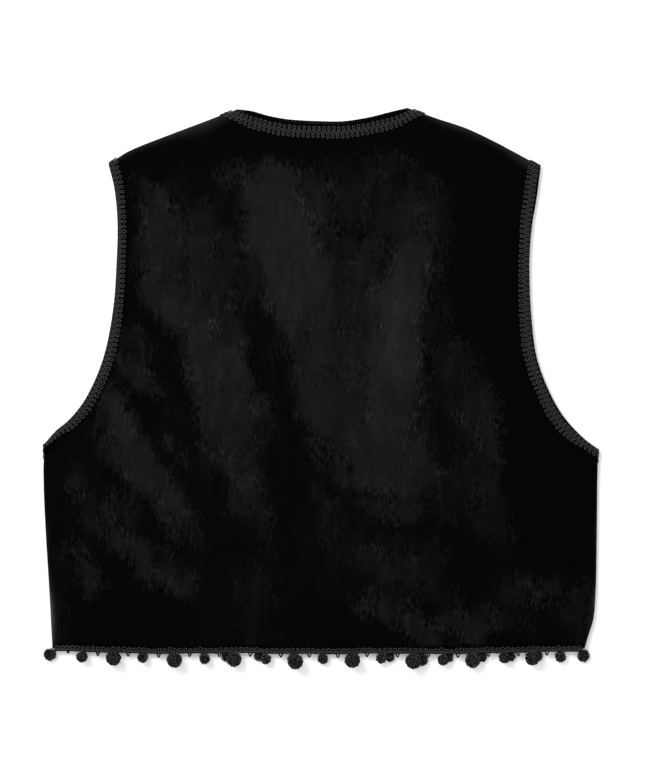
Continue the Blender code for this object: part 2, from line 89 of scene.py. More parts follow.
# %% Floor, lamp and world
FLOOR_HALF = 6.0
FLOOR_DROP = 0.2 * MM
LAMP_PLACE = Vector((-1.3, 1.4, 2.0))
LAMP_SIZE = 1.4
LAMP_POWER = 60.0
WORLD_STRENGTH = 1.15


def link(thing):
    """Put an object in the scene."""
    bpy.context.scene.collection.objects.link(thing)
    return thing


def paint(name, colour, roughness):
    """A material with a plain shader, and its shader node."""
    made = bpy.data.materials.new(name)
    made.use_nodes = True
    shader = made.node_tree.nodes["Principled BSDF"]
    shader.inputs["Base Color"].default_value = (*colour, 1.0)
    shader.inputs["Roughness"].default_value = roughness
    return made, shader


floor_form = bmesh.new()
bmesh.ops.create_grid(floor_form, x_segments=1, y_segments=1, size=FLOOR_HALF)
floor_mesh = bpy.data.meshes.new("floor")
floor_form.to_mesh(floor_mesh)
floor_form.free()
floor_mesh.transform(Matrix.Translation((0.0, 0.0, -FLOOR_DROP)))
floor_mesh.materials.append(paint("floor", (0.86, 0.86, 0.86), 0.9)[0])
floor = link(bpy.data.objects.new("floor", floor_mesh))

lamp_data = bpy.data.lights.new("soft_lamp", "AREA")
lamp_data.shape = "DISK"
lamp_data.size = LAMP_SIZE
lamp_data.energy = LAMP_POWER
lamp = link(bpy.data.objects.new("soft_lamp", lamp_data))
lamp.location = LAMP_PLACE
lamp.rotation_euler = (-LAMP_PLACE).to_track_quat("-Z", "Y").to_euler()

world = bpy.data.worlds.new("studio")
world.use_nodes = True
background = world.node_tree.nodes["Background"]
background.inputs["Color"].default_value = (1.0, 1.0, 1.0, 1.0)
background.inputs["Strength"].default_value = WORLD_STRENGTH
bpy.context.scene.world = world
bpy.context.scene.view_settings.view_transform = "Standard"
print("floor, one lamp and a white world")

# %% [markdown]
# A vest is cut along a few smooth lines: side, armhole, shoulder, neck and hem. Each line is a
# short table of points in millimetres, and the cloth, the braid and the trim all follow it.
# The same tables are in the source of the solids, so nothing has to be fitted afterwards.

# %% Cutting lines of the back and the fronts
BACK_SIDE = {
    "left": [(-241.7, -233.8), (-245.3, -172.4), (-248.2, -125.0), (-249.9, -82.4),
             (-249.2, -50.0)],
    "right": [(236.3, -233.8), (239.6, -222.0), (244.4, -207.0), (246.6, -180.0),
              (247.4, -140.0), (248.2, -54.0)],
}
BACK_ARMHOLE = {
    "left": [(-249.2, -50.0), (-239.0, -38.2), (-227.3, -28.4), (-212.9, -10.4),
             (-196.7, 25.7), (-187.5, 70.0), (-184.1, 115.7), (-183.4, 150.0),
             (-186.2, 180.0), (-191.5, 201.8)],
    "right": [(248.2, -54.0), (236.0, -45.0), (220.1, -28.4), (208.4, -10.4),
              (194.0, 25.7), (188.6, 65.0), (187.0, 115.7), (189.3, 147.0),
              (193.4, 171.0), (197.0, 199.5)],
}
SHOULDER = {
    "left": [(-191.5, 201.8), (-172.4, 213.6), (-136.4, 228.2), (-100.4, 241.7),
             (-75.5, 251.0)],
    "right": [(197.0, 199.5), (186.0, 205.4), (158.9, 220.3), (130.0, 234.0),
              (101.3, 243.5), (77.0, 252.2)],
}
BACK_NECK = [(-75.5, 251.0), (-62.6, 249.4), (-48.2, 245.3), (-30.0, 242.0), (0.0, 240.3),
             (20.0, 240.3), (45.5, 244.4), (61.0, 248.4), (77.0, 252.2)]
BACK_HEM = [(-241.7, -233.8), (-180.0, -235.6), (-60.0, -236.0), (60.0, -236.4),
            (180.0, -235.4), (236.3, -233.8)]
FRONT_SCOOP = 6.5
SCOOP_DROP = 0.45
HANDS = ("left", "right")
FRONT_EDGE = {
    "left": [(-1.8, -233.0), (-1.8, -100.0), (-1.8, 60.0), (-4.5, 104.0), (-17.0, 138.0),
             (-42.0, 186.0), (-64.0, 228.0), (-75.5, 251.0)],
    "right": [(1.8, -233.0), (1.8, -100.0), (1.8, 60.0), (4.5, 104.0), (17.0, 138.0),
              (42.5, 186.0), (65.0, 228.0), (77.0, 252.2)],
}
FRONT_HEM = {
    "left": [(-241.7, -233.8), (-200.0, -233.0), (-100.0, -233.4), (-1.8, -233.0)],
    "right": [(236.3, -233.8), (200.0, -233.0), (100.0, -233.4), (1.8, -233.0)],
}

# %% [markdown]
# A line has to answer four questions for whole arrays of points at once: where is the point at
# a distance along it, which way does it run there, how far away is it from a spot of cloth,
# and on which side does the cloth lie. Numpy answers them for a full grid in one go.

# %% A smooth line
def ease(value):
    """0 below 0, 1 above 1, and a smooth step between."""
    value = np.clip(value, 0.0, 1.0)
    return value * value * (3.0 - 2.0 * value)


class Line:
    """A smooth line through a table's points, measured along its length."""

    STEPS = 16
    REACH = 3.0 * MM
    AT_ONCE = 4000

    def __init__(self, table):
        ends = np.array(table) * MM
        ends = np.vstack([ends[0] * 2 - ends[1], ends, ends[-1] * 2 - ends[-2]])
        share = np.arange(self.STEPS)[:, None] / self.STEPS
        spans = [self.span(*ends[k - 1:k + 3], share) for k in range(1, len(ends) - 2)]
        self.points = np.vstack(spans + [ends[-2:-1]])
        walked = np.linalg.norm(np.diff(self.points, axis=0), axis=1)
        self.walked = np.concatenate([[0.0], np.cumsum(walked)])
        self.length = self.walked[-1]

    @staticmethod
    def span(p0, p1, p2, p3, t):
        """One span of the curve, weighted by the root of the lengths beside it."""
        t01 = np.linalg.norm(p1 - p0) ** 0.5
        t12 = np.linalg.norm(p2 - p1) ** 0.5
        t23 = np.linalg.norm(p3 - p2) ** 0.5
        m1 = (p2 - p1) + ((p1 - p0) / t01 - (p2 - p0) / (t01 + t12)) * t12
        m2 = (p2 - p1) + ((p3 - p2) / t23 - (p3 - p1) / (t12 + t23)) * t12
        cubic = (p1 - p2) * 2 + m1 + m2
        square = (p2 - p1) * 3 - m1 * 2 - m2
        return cubic * t ** 3 + square * t ** 2 + m1 * t + p1

    def at(self, distance):
        """Points at distances along the line."""
        return np.stack([np.interp(distance, self.walked, self.points[:, axis])
                         for axis in (0, 1)], axis=-1)

    def heading(self, distance):
        """Unit direction of the line at distances along it."""
        ahead = self.at(np.asarray(distance) + self.REACH)
        behind = self.at(np.asarray(distance) - self.REACH)
        run = ahead - behind
        return run / np.linalg.norm(run, axis=-1, keepdims=True)

    def side_of(self, middle):
        """1 where a panel's middle lies to the left of the line, -1 to the right."""
        run = self.heading(self.length / 2)
        away = np.array(middle) - self.at(self.length / 2)
        return 1.0 if run[0] * away[1] - run[1] * away[0] > 0.0 else -1.0

    def nearest(self, spots):
        """Distance from each spot to the line, and the line's direction there."""
        start = self.points[:-1]
        run = np.diff(self.points, axis=0)
        size = (run ** 2).sum(axis=1)
        gaps, runs = [], []
        for few in np.array_split(spots, max(1, len(spots) // self.AT_ONCE)):
            away = few[:, None, :] - start
            share = np.clip((away * run).sum(axis=2) / size, 0.0, 1.0)
            apart = np.linalg.norm(away - share[:, :, None] * run, axis=2)
            best = apart.argmin(axis=1)
            gaps.append(apart[np.arange(len(few)), best])
            runs.append((run / np.sqrt(size)[:, None])[best])
        return np.concatenate(gaps), np.concatenate(runs)


def scooped(table, scoop):
    """The back's armhole cut deeper in the middle, as a front is."""
    inward = -1.0 if table[0][0] > 0.0 else 1.0
    shares = [math.sin(math.pi * k / (len(table) - 1)) for k in range(len(table))]
    return [(x + inward * scoop * share, y - SCOOP_DROP * scoop * share)
            for (x, y), share in zip(table, shares)]


neck_line, hem_line = Line(BACK_NECK), Line(BACK_HEM)
side_line, shoulder_line, armhole_line = {}, {}, {}
front_armhole_line, front_edge_line, front_hem_line = {}, {}, {}
for hand in HANDS:
    side_line[hand] = Line(BACK_SIDE[hand])
    shoulder_line[hand] = Line(SHOULDER[hand])
    armhole_line[hand] = Line(BACK_ARMHOLE[hand])
    front_armhole_line[hand] = Line(scooped(BACK_ARMHOLE[hand], FRONT_SCOOP))
    front_edge_line[hand] = Line(FRONT_EDGE[hand])
    front_hem_line[hand] = Line(FRONT_HEM[hand])
print("armhole", round(armhole_line["left"].length * 1000), "mm, hem",
      round(hem_line.length * 1000), "mm")

# %% [markdown]
# The back lies on the fronts. At the side and shoulder seams the cloth turns over in a soft
# fold, and at the neck, the armholes and the hem it is a single edge. The height of the cloth
# is worked out from the distance to those two kinds of edge. Soft folds from handling are
# laid over it: each is a stroke from one end to the other, with a width and a height, and a
# negative height is a trough beside a ridge.

# %% Height of the cloth
WALL = 1.6 * MM
SEAM_GAP = 0.3 * MM
FOLD_RADIUS = 2.85 * MM
FOLD_MIDDLE = 3.0 * MM
BRAID_LIFT = 0.25 * MM
OPEN_BAND = 18.5 * MM
OPEN_BLEND = 14.0 * MM
SETTLE_WIDTH = 25.0 * MM
FOLD_FADE = 26.0 * MM

Crease = namedtuple("Crease", "x0 y0 x1 y1 width height")
SOFT_FOLDS = [Crease(*row) for row in (
    (-160.0, 150.0, -112.0, 30.0, 24.0, 1.6), (-112.0, 30.0, -58.0, -115.0, 26.0, 1.9),
    (-62.0, 190.0, -20.0, 60.0, 26.0, 1.7), (0.0, 40.0, 88.0, -88.0, 34.0, 2.2),
    (64.0, 115.0, 68.0, -55.0, 18.0, 1.9), (-192.0, -18.0, -106.0, -136.0, 17.0, 2.4),
    (-206.0, -102.0, -116.0, -176.0, 15.0, 2.0), (110.0, 40.0, 168.0, -118.0, 21.0, 1.8),
    (40.0, -160.0, 112.0, -200.0, 20.0, 1.3), (158.0, -182.0, 208.0, -205.0, 14.0, 1.2),
)]
FINE_FOLDS = [Crease(*row) for row in (
    (-176.0, 60.0, -128.0, -8.0, 8.0, -0.5), (-172.0, 30.0, -146.0, -6.0, 6.0, 0.6),
    (-50.0, 40.0, -34.0, -40.0, 9.0, -0.6), (-150.0, -62.0, -112.0, -112.0, 6.0, -0.5),
    (-104.0, -60.0, -84.0, -140.0, 8.0, -0.5), (28.0, 120.0, 40.0, 10.0, 9.0, -0.4),
    (98.0, 100.0, 108.0, -60.0, 8.0, -0.6), (136.0, 10.0, 150.0, -70.0, 7.0, 0.5),
    (-20.0, -110.0, 4.0, -180.0, 9.0, 0.5), (80.0, -190.0, 96.0, -226.0, 7.0, 0.6),
    (122.0, -200.0, 140.0, -226.0, 8.0, 0.6), (-220.0, -140.0, -204.0, -190.0, 6.0, 0.5),
)]


def beside(spots, stroke):
    """How far along a stroke each spot lies, from 0 to 1, and its distance from it."""
    start = np.array((stroke.x0, stroke.y0))
    run = np.array((stroke.x1, stroke.y1)) - start
    share = np.clip(((spots - start) * run).sum(axis=1) / (run ** 2).sum(), 0.0, 1.0)
    return share, np.linalg.norm(spots - start - share[:, None] * run, axis=1)


def fold_height(spots, folds):
    """Height that soft folds add at each spot."""
    height = np.zeros(len(spots))
    for fold in folds:
        away = beside(spots / MM, fold)[1]
        height += fold.height * MM * np.exp(-(away / fold.width) ** 2)
    return height


class Panel:
    """One cloth panel: its folded and open edges, and the height of its outer face."""

    def __init__(self, folded, opened, middle, up, folds=()):
        self.folded = folded
        self.opened = opened
        self.middle = middle
        self.up = up
        self.folds = folds

    def gaps(self, spots):
        """Distances to the nearest folded and open edge, and the way in from the fold."""
        found = [line.nearest(spots) for line in self.folded]
        distances = np.stack([gap for gap, _ in found])
        best = distances.argmin(axis=0)
        rows = np.arange(len(spots))
        runs = np.stack([run for _, run in found])[best, rows]
        sides = np.array([line.side_of(self.middle) for line in self.folded])[best]
        inward = np.stack([-runs[:, 1], runs[:, 0]], axis=1) * sides[:, None]
        open_gap = np.min([line.nearest(spots)[0] for line in self.opened], axis=0)
        return distances[best, rows], open_gap, inward

    def face(self, spots):
        """Outer face above each spot, the direction out of the cloth, and the edge gaps."""
        fold_gap, open_gap, inward = self.gaps(spots)
        share = ease((open_gap - OPEN_BAND) / OPEN_BLEND)
        lean = np.arcsin(np.clip((FOLD_RADIUS - fold_gap) / FOLD_RADIUS, 0.0, 1.0))
        middle = FOLD_MIDDLE + BRAID_LIFT * (1.0 - share)
        rise = SEAM_GAP / 2 + WALL * np.cos(share * math.pi / 2) + FOLD_RADIUS * share
        rise -= share * FOLD_RADIUS * (1.0 - np.cos(lean))
        if self.up > 0:
            resting = FOLD_MIDDLE + BRAID_LIFT + SEAM_GAP / 2 + WALL - middle
            beyond = np.maximum(0.0, fold_gap - FOLD_RADIUS)
            rise = resting + (rise - resting) * np.exp(-(beyond / SETTLE_WIDTH) ** 2)
            inside = ease((open_gap - OPEN_BAND) / FOLD_FADE) * ease(fold_gap / FOLD_FADE)
            rise = rise + inside * fold_height(spots, self.folds)
        tilt = share * lean
        out = np.stack([-inward[:, 0] * np.sin(tilt), -inward[:, 1] * np.sin(tilt),
                        self.up * np.cos(tilt)], axis=1)
        points = np.column_stack([spots, middle + self.up * rise])
        return points, out, open_gap, inward


back_panel = Panel(
    [side_line["left"], side_line["right"], shoulder_line["left"], shoulder_line["right"]],
    [armhole_line["left"], armhole_line["right"], neck_line, hem_line],
    (0.0, 0.0), 1, SOFT_FOLDS + FINE_FOLDS)
front_panel = {}
for hand in HANDS:
    front_panel[hand] = Panel(
        [side_line[hand], shoulder_line[hand]],
        [front_armhole_line[hand], front_edge_line[hand], front_hem_line[hand]],
        side_line[hand].at(side_line[hand].length / 2) * 0.5, -1)
print("middle of the back lies", round(
    back_panel.face(np.array([(0.0, -0.05)]))[0][0, 2] * 1000, 2), "mm high")

# %% [markdown]
# Each panel is one grid of cells, pulled to the outline and thickened to a wall. A grid keeps
# the cells even, so soft folds shade smoothly. Cells get narrow beside folds, where the cloth
# turns through a quarter round, and at open edges, where the wall ends in a rounded lip.
# Distances in from the edges are set first, and the cells between them are spread evenly.

# %% A grid of spots inside four edges
LIP = WALL / 2
LIP_INSETS = [0.0, 0.12 * MM, 0.4 * MM, LIP]
TURN_INSETS = [FOLD_RADIUS * (1.0 - math.sin(math.radians(a)))
               for a in (90, 75, 60, 45, 30, 15, 0)]
CLOTH_CELL = 2.8 * MM


def insets(first, cell, count):
    """Distances in from an edge: the narrow ones, then even cells."""
    return first + [first[-1] + cell * k for k in range(1, count + 1)]


def spread(length, first, last, count):
    """Distances along an edge: narrow cells at both ends, even ones between."""
    even = list(np.linspace(first[-1], length - last[-1], count + 1)[1:-1])
    return np.array(list(first) + even + [length - d for d in reversed(last)])


def along(parts):
    """Points of edges that follow each other, without the doubled joints."""
    points = [line.at(distances) for line, distances in parts]
    return np.vstack(points[:1] + [more[1:] for more in points[1:]])


def fill(bottom, top, left, right):
    """Spots of a four-sided panel, blended from the points of its edges."""
    def shares(line):
        walked = np.linalg.norm(np.diff(line, axis=0), axis=1)
        return np.concatenate([[0.0], np.cumsum(walked) / walked.sum()])

    u = shares(bottom)[None, :, None]
    v = shares(left)[:, None, None]
    rows = bottom[None] * (1 - v) + top[None] * v
    rows = rows + left[:, None] * (1 - u) + right[:, None] * u
    rows = rows - bottom[0] * (1 - u) * (1 - v) - bottom[-1] * u * (1 - v)
    return rows - top[0] * (1 - u) * v - top[-1] * u * v


def pin_insets(rows, starts, ends):
    """Move the first and last spots of each row to set distances from its edges."""
    for line, inset in ((rows, starts), (rows[:, ::-1], ends)):
        inset = np.array(inset)
        reach = line[:, len(inset) - 1] - line[:, 0]
        way = reach / np.linalg.norm(reach, axis=1, keepdims=True)
        line[:, :len(inset)] = line[:, :1] + way[:, None] * inset[None, :, None]


def pin_all(rows, left, right, low, high):
    """Pin the bands along all four edges of a panel."""
    pin_insets(rows, left, right)
    pin_insets(rows.transpose(1, 0, 2), low, high)


turned = insets(TURN_INSETS, CLOTH_CELL, 5)
lipped = insets(LIP_INSETS, CLOTH_CELL, 6)
side_up = {hand: spread(side_line[hand].length, lipped, lipped, 60)
           for hand in HANDS}
arm_up = {hand: spread(armhole_line[hand].length, lipped, turned, 96)
          for hand in HANDS}
shoulder_in = {hand: spread(shoulder_line[hand].length, turned, lipped, 34)
               for hand in HANDS}
neck_across = spread(neck_line.length, lipped, lipped, 54)
right_shoulder = shoulder_line["right"].at(shoulder_in["right"])[::-1]
back_top = np.vstack([along([(shoulder_line["left"], shoulder_in["left"]),
                             (neck_line, neck_across)]), right_shoulder[1:]])
even_cells = len(back_top) - 1 - 2 * (len(turned) - 1)
back_bottom = hem_line.at(spread(hem_line.length, turned, turned, even_cells))
back_left = along([(side_line["left"], side_up["left"]), (armhole_line["left"], arm_up["left"])])
back_right = along([(side_line["right"], side_up["right"]),
                    (armhole_line["right"], arm_up["right"])])
back_spots = fill(back_bottom, back_top, back_left, back_right)
pin_all(back_spots, turned, turned, lipped, turned)
print("back grid", back_spots.shape[1] - 1, "by", back_spots.shape[0] - 1, "cells")

# %% [markdown]
# Velvet is a cut pile. Where the pile leans away from the light it looks black, and where a
# hand has brushed it the other way it looks grey. Those grey bands are what the eye takes for
# folds. Here that light and shade is painted into the colour, laid on as brush strokes: grey
# strokes are painted sheen of the pile and of fold ridges, dark ones are painted shade in the
# troughs. Each stroke has two ends, a half width at either end and a tone. The strokes are given
# in points of the view, 0.9 mm each, from its upper left corner. The edges of a stroke wander a
# little on smooth noise, as brushed pile does, and the same kind of noise gives the cloudy
# patches in it.

# %% Nap of the back, with painted sheen and shade
VIEW_POINT = 0.9
VIEW_MIDDLE = (321.5, 388.5)
NapLightStroke = namedtuple("NapLightStroke", "x0 y0 x1 y1 start_width end_width tone")
# strokes of painted sheen (light bands on pile and fold ridges) and painted shade (dark troughs)
BRUSHED_SHEEN_AND_SHADE = [NapLightStroke(*row) for row in (
    # washes of the ground
    (500, 190, 500, 330, 44, 44, 0.09), (560, 400, 565, 560, 50, 50, 0.06),
    (66, 440, 72, 560, 34, 30, 0.17), (240, 207, 400, 207, 42, 42, 0.48),
    (330, 250, 352, 400, 50, 50, 0.55), (364, 405, 374, 450, 54, 46, 0.62),
    (216, 226, 224, 292, 40, 38, 0.45), (192, 182, 214, 190, 15, 15, 0.22),
    (250, 480, 262, 610, 60, 70, 0.20), (436, 262, 440, 350, 9, 9, 0.32),
    (444, 420, 451, 512, 15, 15, 0.38), (356, 590, 450, 594, 10, 10, 0.36),
    (480, 560, 560, 600, 28, 32, 0.15), (320, 520, 326, 585, 22, 20, 0.25),
    (246, 560, 250, 645, 13, 9, 0.36), (350, 545, 425, 566, 26, 30, 0.34),
    (345, 505, 424, 508, 14, 14, 0.34), (378, 505, 408, 511, 10, 11, 0.55),
    # left column that runs down from the shoulder
    (204, 250, 208, 300, 15, 17, 0.63), (200, 424, 205, 468, 9, 8, 0.42),
    (158, 206, 164, 290, 22, 24, 0.70), (229, 188, 233, 222, 17, 17, 0.29),
    (171, 304, 206, 344, 17, 21, 0.76), (214, 350, 226, 402, 31, 33, 0.83),
    (228, 405, 236, 440, 29, 24, 0.74), (239, 446, 249, 495, 21, 17, 0.67),
    (260, 512, 270, 556, 17, 9, 0.42),
    # middle column
    (226, 174, 298, 176, 9, 10, 0.48), (274, 197, 285, 235, 33, 35, 0.80),
    (287, 242, 298, 290, 33, 35, 0.88), (300, 296, 308, 335, 34, 30, 0.86),
    (319, 345, 330, 396, 31, 32, 0.66), (338, 402, 355, 442, 34, 30, 0.70),
    # upper right field
    (326, 192, 425, 192, 22, 18, 0.44), (315, 188, 320, 212, 9, 9, 0.68),
    (334, 236, 424, 244, 20, 22, 0.52), (411, 214, 424, 262, 13, 18, 0.60),
    (384, 161, 409, 163, 8, 9, 0.38), (350, 229, 362, 229, 10, 10, 0.28),
    (330, 166, 366, 166, 8, 8, 0.28), (394, 180, 400, 181, 9, 9, 0.27),
    (412, 193, 422, 196, 8, 8, 0.52), (346, 288, 346, 344, 14, 14, 0.55),
    (350, 356, 352, 398, 17, 18, 0.63),
    # painted highlight along a bright ridge
    (410, 264, 403, 300, 19, 24, 0.82), (399, 300, 396, 392, 27, 26, 0.88),
    (394, 404, 397, 466, 26, 28, 0.82), (368, 466, 423, 474, 22, 18, 0.72),
    (395, 302, 393, 364, 9, 8, 1.03),
    # lower left ridges
    (132, 337, 134, 339, 11, 11, 0.50), (122, 358, 155, 390, 9, 10, 0.57),
    (111, 388, 114, 400, 8, 11, 0.62), (116, 405, 124, 446, 14, 20, 0.76),
    (128, 456, 153, 480, 20, 18, 0.75), (160, 488, 186, 522, 17, 16, 0.69),
    (191, 524, 204, 536, 13, 12, 0.52), (72, 477, 86, 498, 10, 10, 0.50),
    (98, 488, 136, 510, 9, 11, 0.28), (107, 518, 114, 530, 13, 15, 0.65),
    (119, 539, 150, 560, 14, 13, 0.63), (150, 565, 180, 587, 15, 13, 0.66),
    (75, 552, 95, 588, 11, 9, 0.58),
    # right patch
    (456, 360, 468, 404, 21, 18, 0.46), (480, 412, 486, 455, 19, 18, 0.57),
    (480, 470, 486, 510, 17, 18, 0.47), (490, 516, 505, 540, 16, 12, 0.38),
    # along the hem
    (328, 514, 332, 531, 12, 12, 0.41), (262, 588, 263, 594, 12, 12, 0.38),
    (370, 560, 410, 573, 12, 17, 0.53), (372, 604, 400, 612, 12, 12, 0.62),
    (408, 624, 430, 640, 10, 12, 0.58), (450, 622, 474, 632, 17, 17, 0.60),
    (490, 617, 518, 622, 13, 12, 0.42), (508, 588, 546, 590, 13, 12, 0.50),
    (570, 605, 575, 640, 9, 8, 0.30), (582, 590, 580, 642, 8, 9, 0.44),
    (424, 642, 425, 642, 4, 4, 0.72), (59, 556, 57, 636, 5, 6, 0.36),
    # painted shade in dark troughs, laid over the rest
    (250, 308, 256, 322, 10, 11, 0.28), (269, 346, 284, 426, 12, 13, 0.20),
    (284, 446, 286, 556, 17, 14, 0.17), (138, 320, 172, 366, 10, 12, 0.15),
    (167, 410, 178, 426, 11, 9, 0.30), (164, 438, 200, 474, 8, 8, 0.42),
    (202, 474, 210, 528, 8, 12, 0.22), (218, 548, 252, 554, 12, 12, 0.18),
    (134, 513, 138, 516, 9, 9, 0.25), (438, 388, 443, 455, 8, 9, 0.25),
    (462, 562, 480, 584, 17, 17, 0.14), (310, 618, 332, 626, 22, 22, 0.07),
    (384, 640, 386, 642, 7, 7, 0.14),
    # touches laid on last
    (138, 183, 143, 198, 9, 9, 0.44), (139, 243, 143, 257, 9, 9, 0.55),
    (179, 186, 186, 194, 9, 8, 0.38), (218, 306, 224, 334, 10, 10, 0.57),
    (318, 316, 324, 352, 10, 9, 0.78), (277, 345, 284, 356, 8, 8, 0.44),
    (98, 424, 103, 454, 9, 8, 0.46), (262, 402, 260, 414, 8, 9, 0.48),
    (260, 424, 263, 436, 8, 8, 0.34), (217, 446, 223, 456, 8, 8, 0.54),
    (423, 384, 421, 434, 8, 8, 0.47), (441, 383, 444, 397, 7, 7, 0.42),
    (317, 443, 321, 458, 9, 9, 0.54), (318, 482, 323, 496, 9, 8, 0.42),
    (339, 465, 345, 474, 8, 8, 0.50), (443, 204, 441, 256, 8, 8, 0.33),
    (96, 524, 105, 535, 9, 9, 0.56), (77, 508, 87, 514, 8, 8, 0.42),
    (117, 505, 127, 514, 8, 8, 0.50), (176, 562, 186, 574, 9, 9, 0.50),
    (138, 343, 144, 356, 8, 8, 0.44), (238, 507, 264, 512, 9, 9, 0.54),
    (156, 545, 166, 554, 8, 8, 0.40), (557, 604, 564, 614, 8, 8, 0.40),
)]
# waves per metre across and up, and the layer of the noise
BROAD_WANDER = (52.0, 34.0, 0.4)
FINE_WANDER = (170.0, 48.0, 3.1)
BROAD_BLOTS = (90.0, 42.0, 5.7)
FINE_BLOTS = (210.0, 75.0, 8.2)
RUFFLE_PATCHES = (60.0, 45.0, 11.0)

# how the strokes and the patches look
NAP_GROUND = 0.11
NAP_SOFT = 10.5
NAP_WANDER = 7.0 * MM
FINE_SHARE = (0.55, 0.9)
SECOND_LAYER = 40.5
MOTTLE = 0.9
RUFFLE_AT_EDGES = 28.0
RUFFLE_IN_GREY = 0.55
RUFFLED_GREY = 0.55
GREY_SPREAD = 0.22
MOST_RUFFLE = 0.85

# painted highlight along the neck, and how far the painted shade of braid and trim reaches in
# from the edge
NECK_RIM = 1.75 * MM
NECK_RIM_WIDTH = 0.55 * MM
NECK_LIGHT = 0.25
NECK_MIDDLE_LIGHT = 1.1
NECK_MIDDLE = -2 * MM
NECK_MIDDLE_WIDTH = 34 * MM
NECK_PAINTED_SHADE = 11.2 * MM
ARMHOLE_PAINTED_SHADE = 9.6 * MM
HEM_PAINTED_SHADE = 3.4 * MM
SHADE_SOFT = 2.2 * MM

# light along the folded edges: place down or across the view, light, width in millimetres
SHOULDER_RIMS = {
    "left": [(118, 0.90, 2.8), (145, 0.85, 3.6), (175, 0.95, 4.8), (205, 1.00, 9.0),
             (224, 0.95, 6.0)],
    "right": [(420, 0.90, 1.8), (440, 0.80, 4.8), (455, 1.00, 5.4), (485, 0.75, 5.0),
              (500, 0.90, 4.6), (518, 1.00, 7.2)],
}
SIDE_RIMS = {
    "left": [(455, 0.15, 1.4), (515, 0.40, 1.6), (530, 0.60, 3.0), (556, 0.45, 1.5),
             (580, 0.95, 2.4), (600, 1.60, 3.4), (620, 1.55, 3.6), (642, 1.00, 2.4)],
    "right": [(470, 0.15, 1.4), (505, 0.45, 1.6), (530, 0.55, 3.0), (556, 0.50, 2.6),
              (580, 0.70, 1.8), (600, 1.00, 3.2), (620, 0.75, 3.8), (642, 0.40, 1.8)],
}


def wander(spots, across, up, layer):
    """The same smooth noise on every run, at each spot and in two directions."""
    return np.array([[noise.noise(Vector((x * across, y * up, depth)))
                      for depth in (layer, layer + SECOND_LAYER)] for x, y in spots])


def brushed_sheen_and_shade(spots, strokes):
    """Nap tone at each spot, with painted sheen and shade: strokes laid over each other with
    soft edges.
    """
    moved = spots + (wander(spots, *BROAD_WANDER)
                     + wander(spots, *FINE_WANDER) * FINE_SHARE) * NAP_WANDER
    place = np.array(VIEW_MIDDLE) + moved / MM / VIEW_POINT * (1.0, -1.0)
    tone = np.full(len(spots), NAP_GROUND)
    for stroke in strokes:
        share, away = beside(place, stroke)
        width = stroke.start_width + (stroke.end_width - stroke.start_width) * share
        cover = 1.0 - ease((away - width + NAP_SOFT) / (2.0 * NAP_SOFT))
        tone = tone * (1.0 - cover) + stroke.tone * cover
    return tone


def mottled(spots, tone):
    """The same tone with cloudy patches, strongest in the greys."""
    blots = wander(spots, *BROAD_BLOTS)[:, 0] + 0.8 * wander(spots, *FINE_BLOTS)[:, 0]
    return tone + blots * MOTTLE * tone ** 1.5 * np.maximum(1.0 - tone, 0.0)


def ruffled(spots, tones, cell):
    """How much the pile stands up: where light meets dark, and in patches of the grey."""
    down, across = np.gradient(tones.reshape(spots.shape[:2]), cell / MM)
    patches = ease(0.5 + 2.5 * wander(spots.reshape(-1, 2), *RUFFLE_PATCHES)[:, 0])
    edge = np.hypot(down, across).ravel() * RUFFLE_AT_EDGES * (0.25 + 0.75 * patches)
    grey = np.exp(-((tones - RUFFLED_GREY) / GREY_SPREAD) ** 2) * patches * RUFFLE_IN_GREY
    return np.clip(edge + grey, 0.0, MOST_RUFFLE)


def rim_light(spots, line, axis, table):
    """Light along a folded edge, which grows and fades as the table says."""
    place = VIEW_MIDDLE[axis] + spots[:, axis] / MM / VIEW_POINT * (1.0, -1.0)[axis]
    places, lights, widths = zip(*table)
    width = np.interp(place, places, widths) * MM
    return np.interp(place, places, lights) * np.exp(-(line.nearest(spots)[0] / width) ** 2)


flat_back = back_spots.reshape(-1, 2)
# painted sheen and shade of the back's nap, from the strokes
back_sheen_and_shade = brushed_sheen_and_shade(flat_back, BRUSHED_SHEEN_AND_SHADE)
back_ruffle = ruffled(back_spots, back_sheen_and_shade, CLOTH_CELL)
back_nap_and_light = mottled(flat_back, back_sheen_and_shade)
# painted shade: the nap tone is black under braid and trim and comes back just beyond them, as
# their contact shadow
for line, cover in ((neck_line, NECK_PAINTED_SHADE), (armhole_line["left"], ARMHOLE_PAINTED_SHADE),
                    (armhole_line["right"], ARMHOLE_PAINTED_SHADE), (hem_line, HEM_PAINTED_SHADE)):
    back_nap_and_light *= ease((line.nearest(flat_back)[0] - cover) / SHADE_SOFT)
# painted highlights: a bright line along the neck's edge, strongest in the middle, and light
# along the shoulder and side folds
rim = np.exp(-((neck_line.nearest(flat_back)[0] - NECK_RIM) / NECK_RIM_WIDTH) ** 2)
middle_light = np.exp(-((flat_back[:, 0] - NECK_MIDDLE) / NECK_MIDDLE_WIDTH) ** 2)
back_nap_and_light += rim * (NECK_LIGHT + NECK_MIDDLE_LIGHT * middle_light)
for hand in HANDS:
    back_nap_and_light += rim_light(flat_back, shoulder_line[hand], 0, SHOULDER_RIMS[hand])
    back_nap_and_light += rim_light(flat_back, side_line[hand], 1, SIDE_RIMS[hand])
print("nap tone from", round(back_nap_and_light.min(), 2), "to", round(back_nap_and_light.max(), 2))

# %% [markdown]
# The velvet's colour is read from the nap tone, with its painted sheen, shade and highlights,
# through a colour ramp, which keeps black areas neutral and gives brushed ones a faint violet
# cast. Pile lies in fine streaks down the garment, with small blotches and a fine grain, so
# three noise patterns of different scale vary the tone. Where the pile stands up, a fourth and
# coarser one sets light tufts beside dark gaps. A little sheen lights the cloth where it turns
# away.

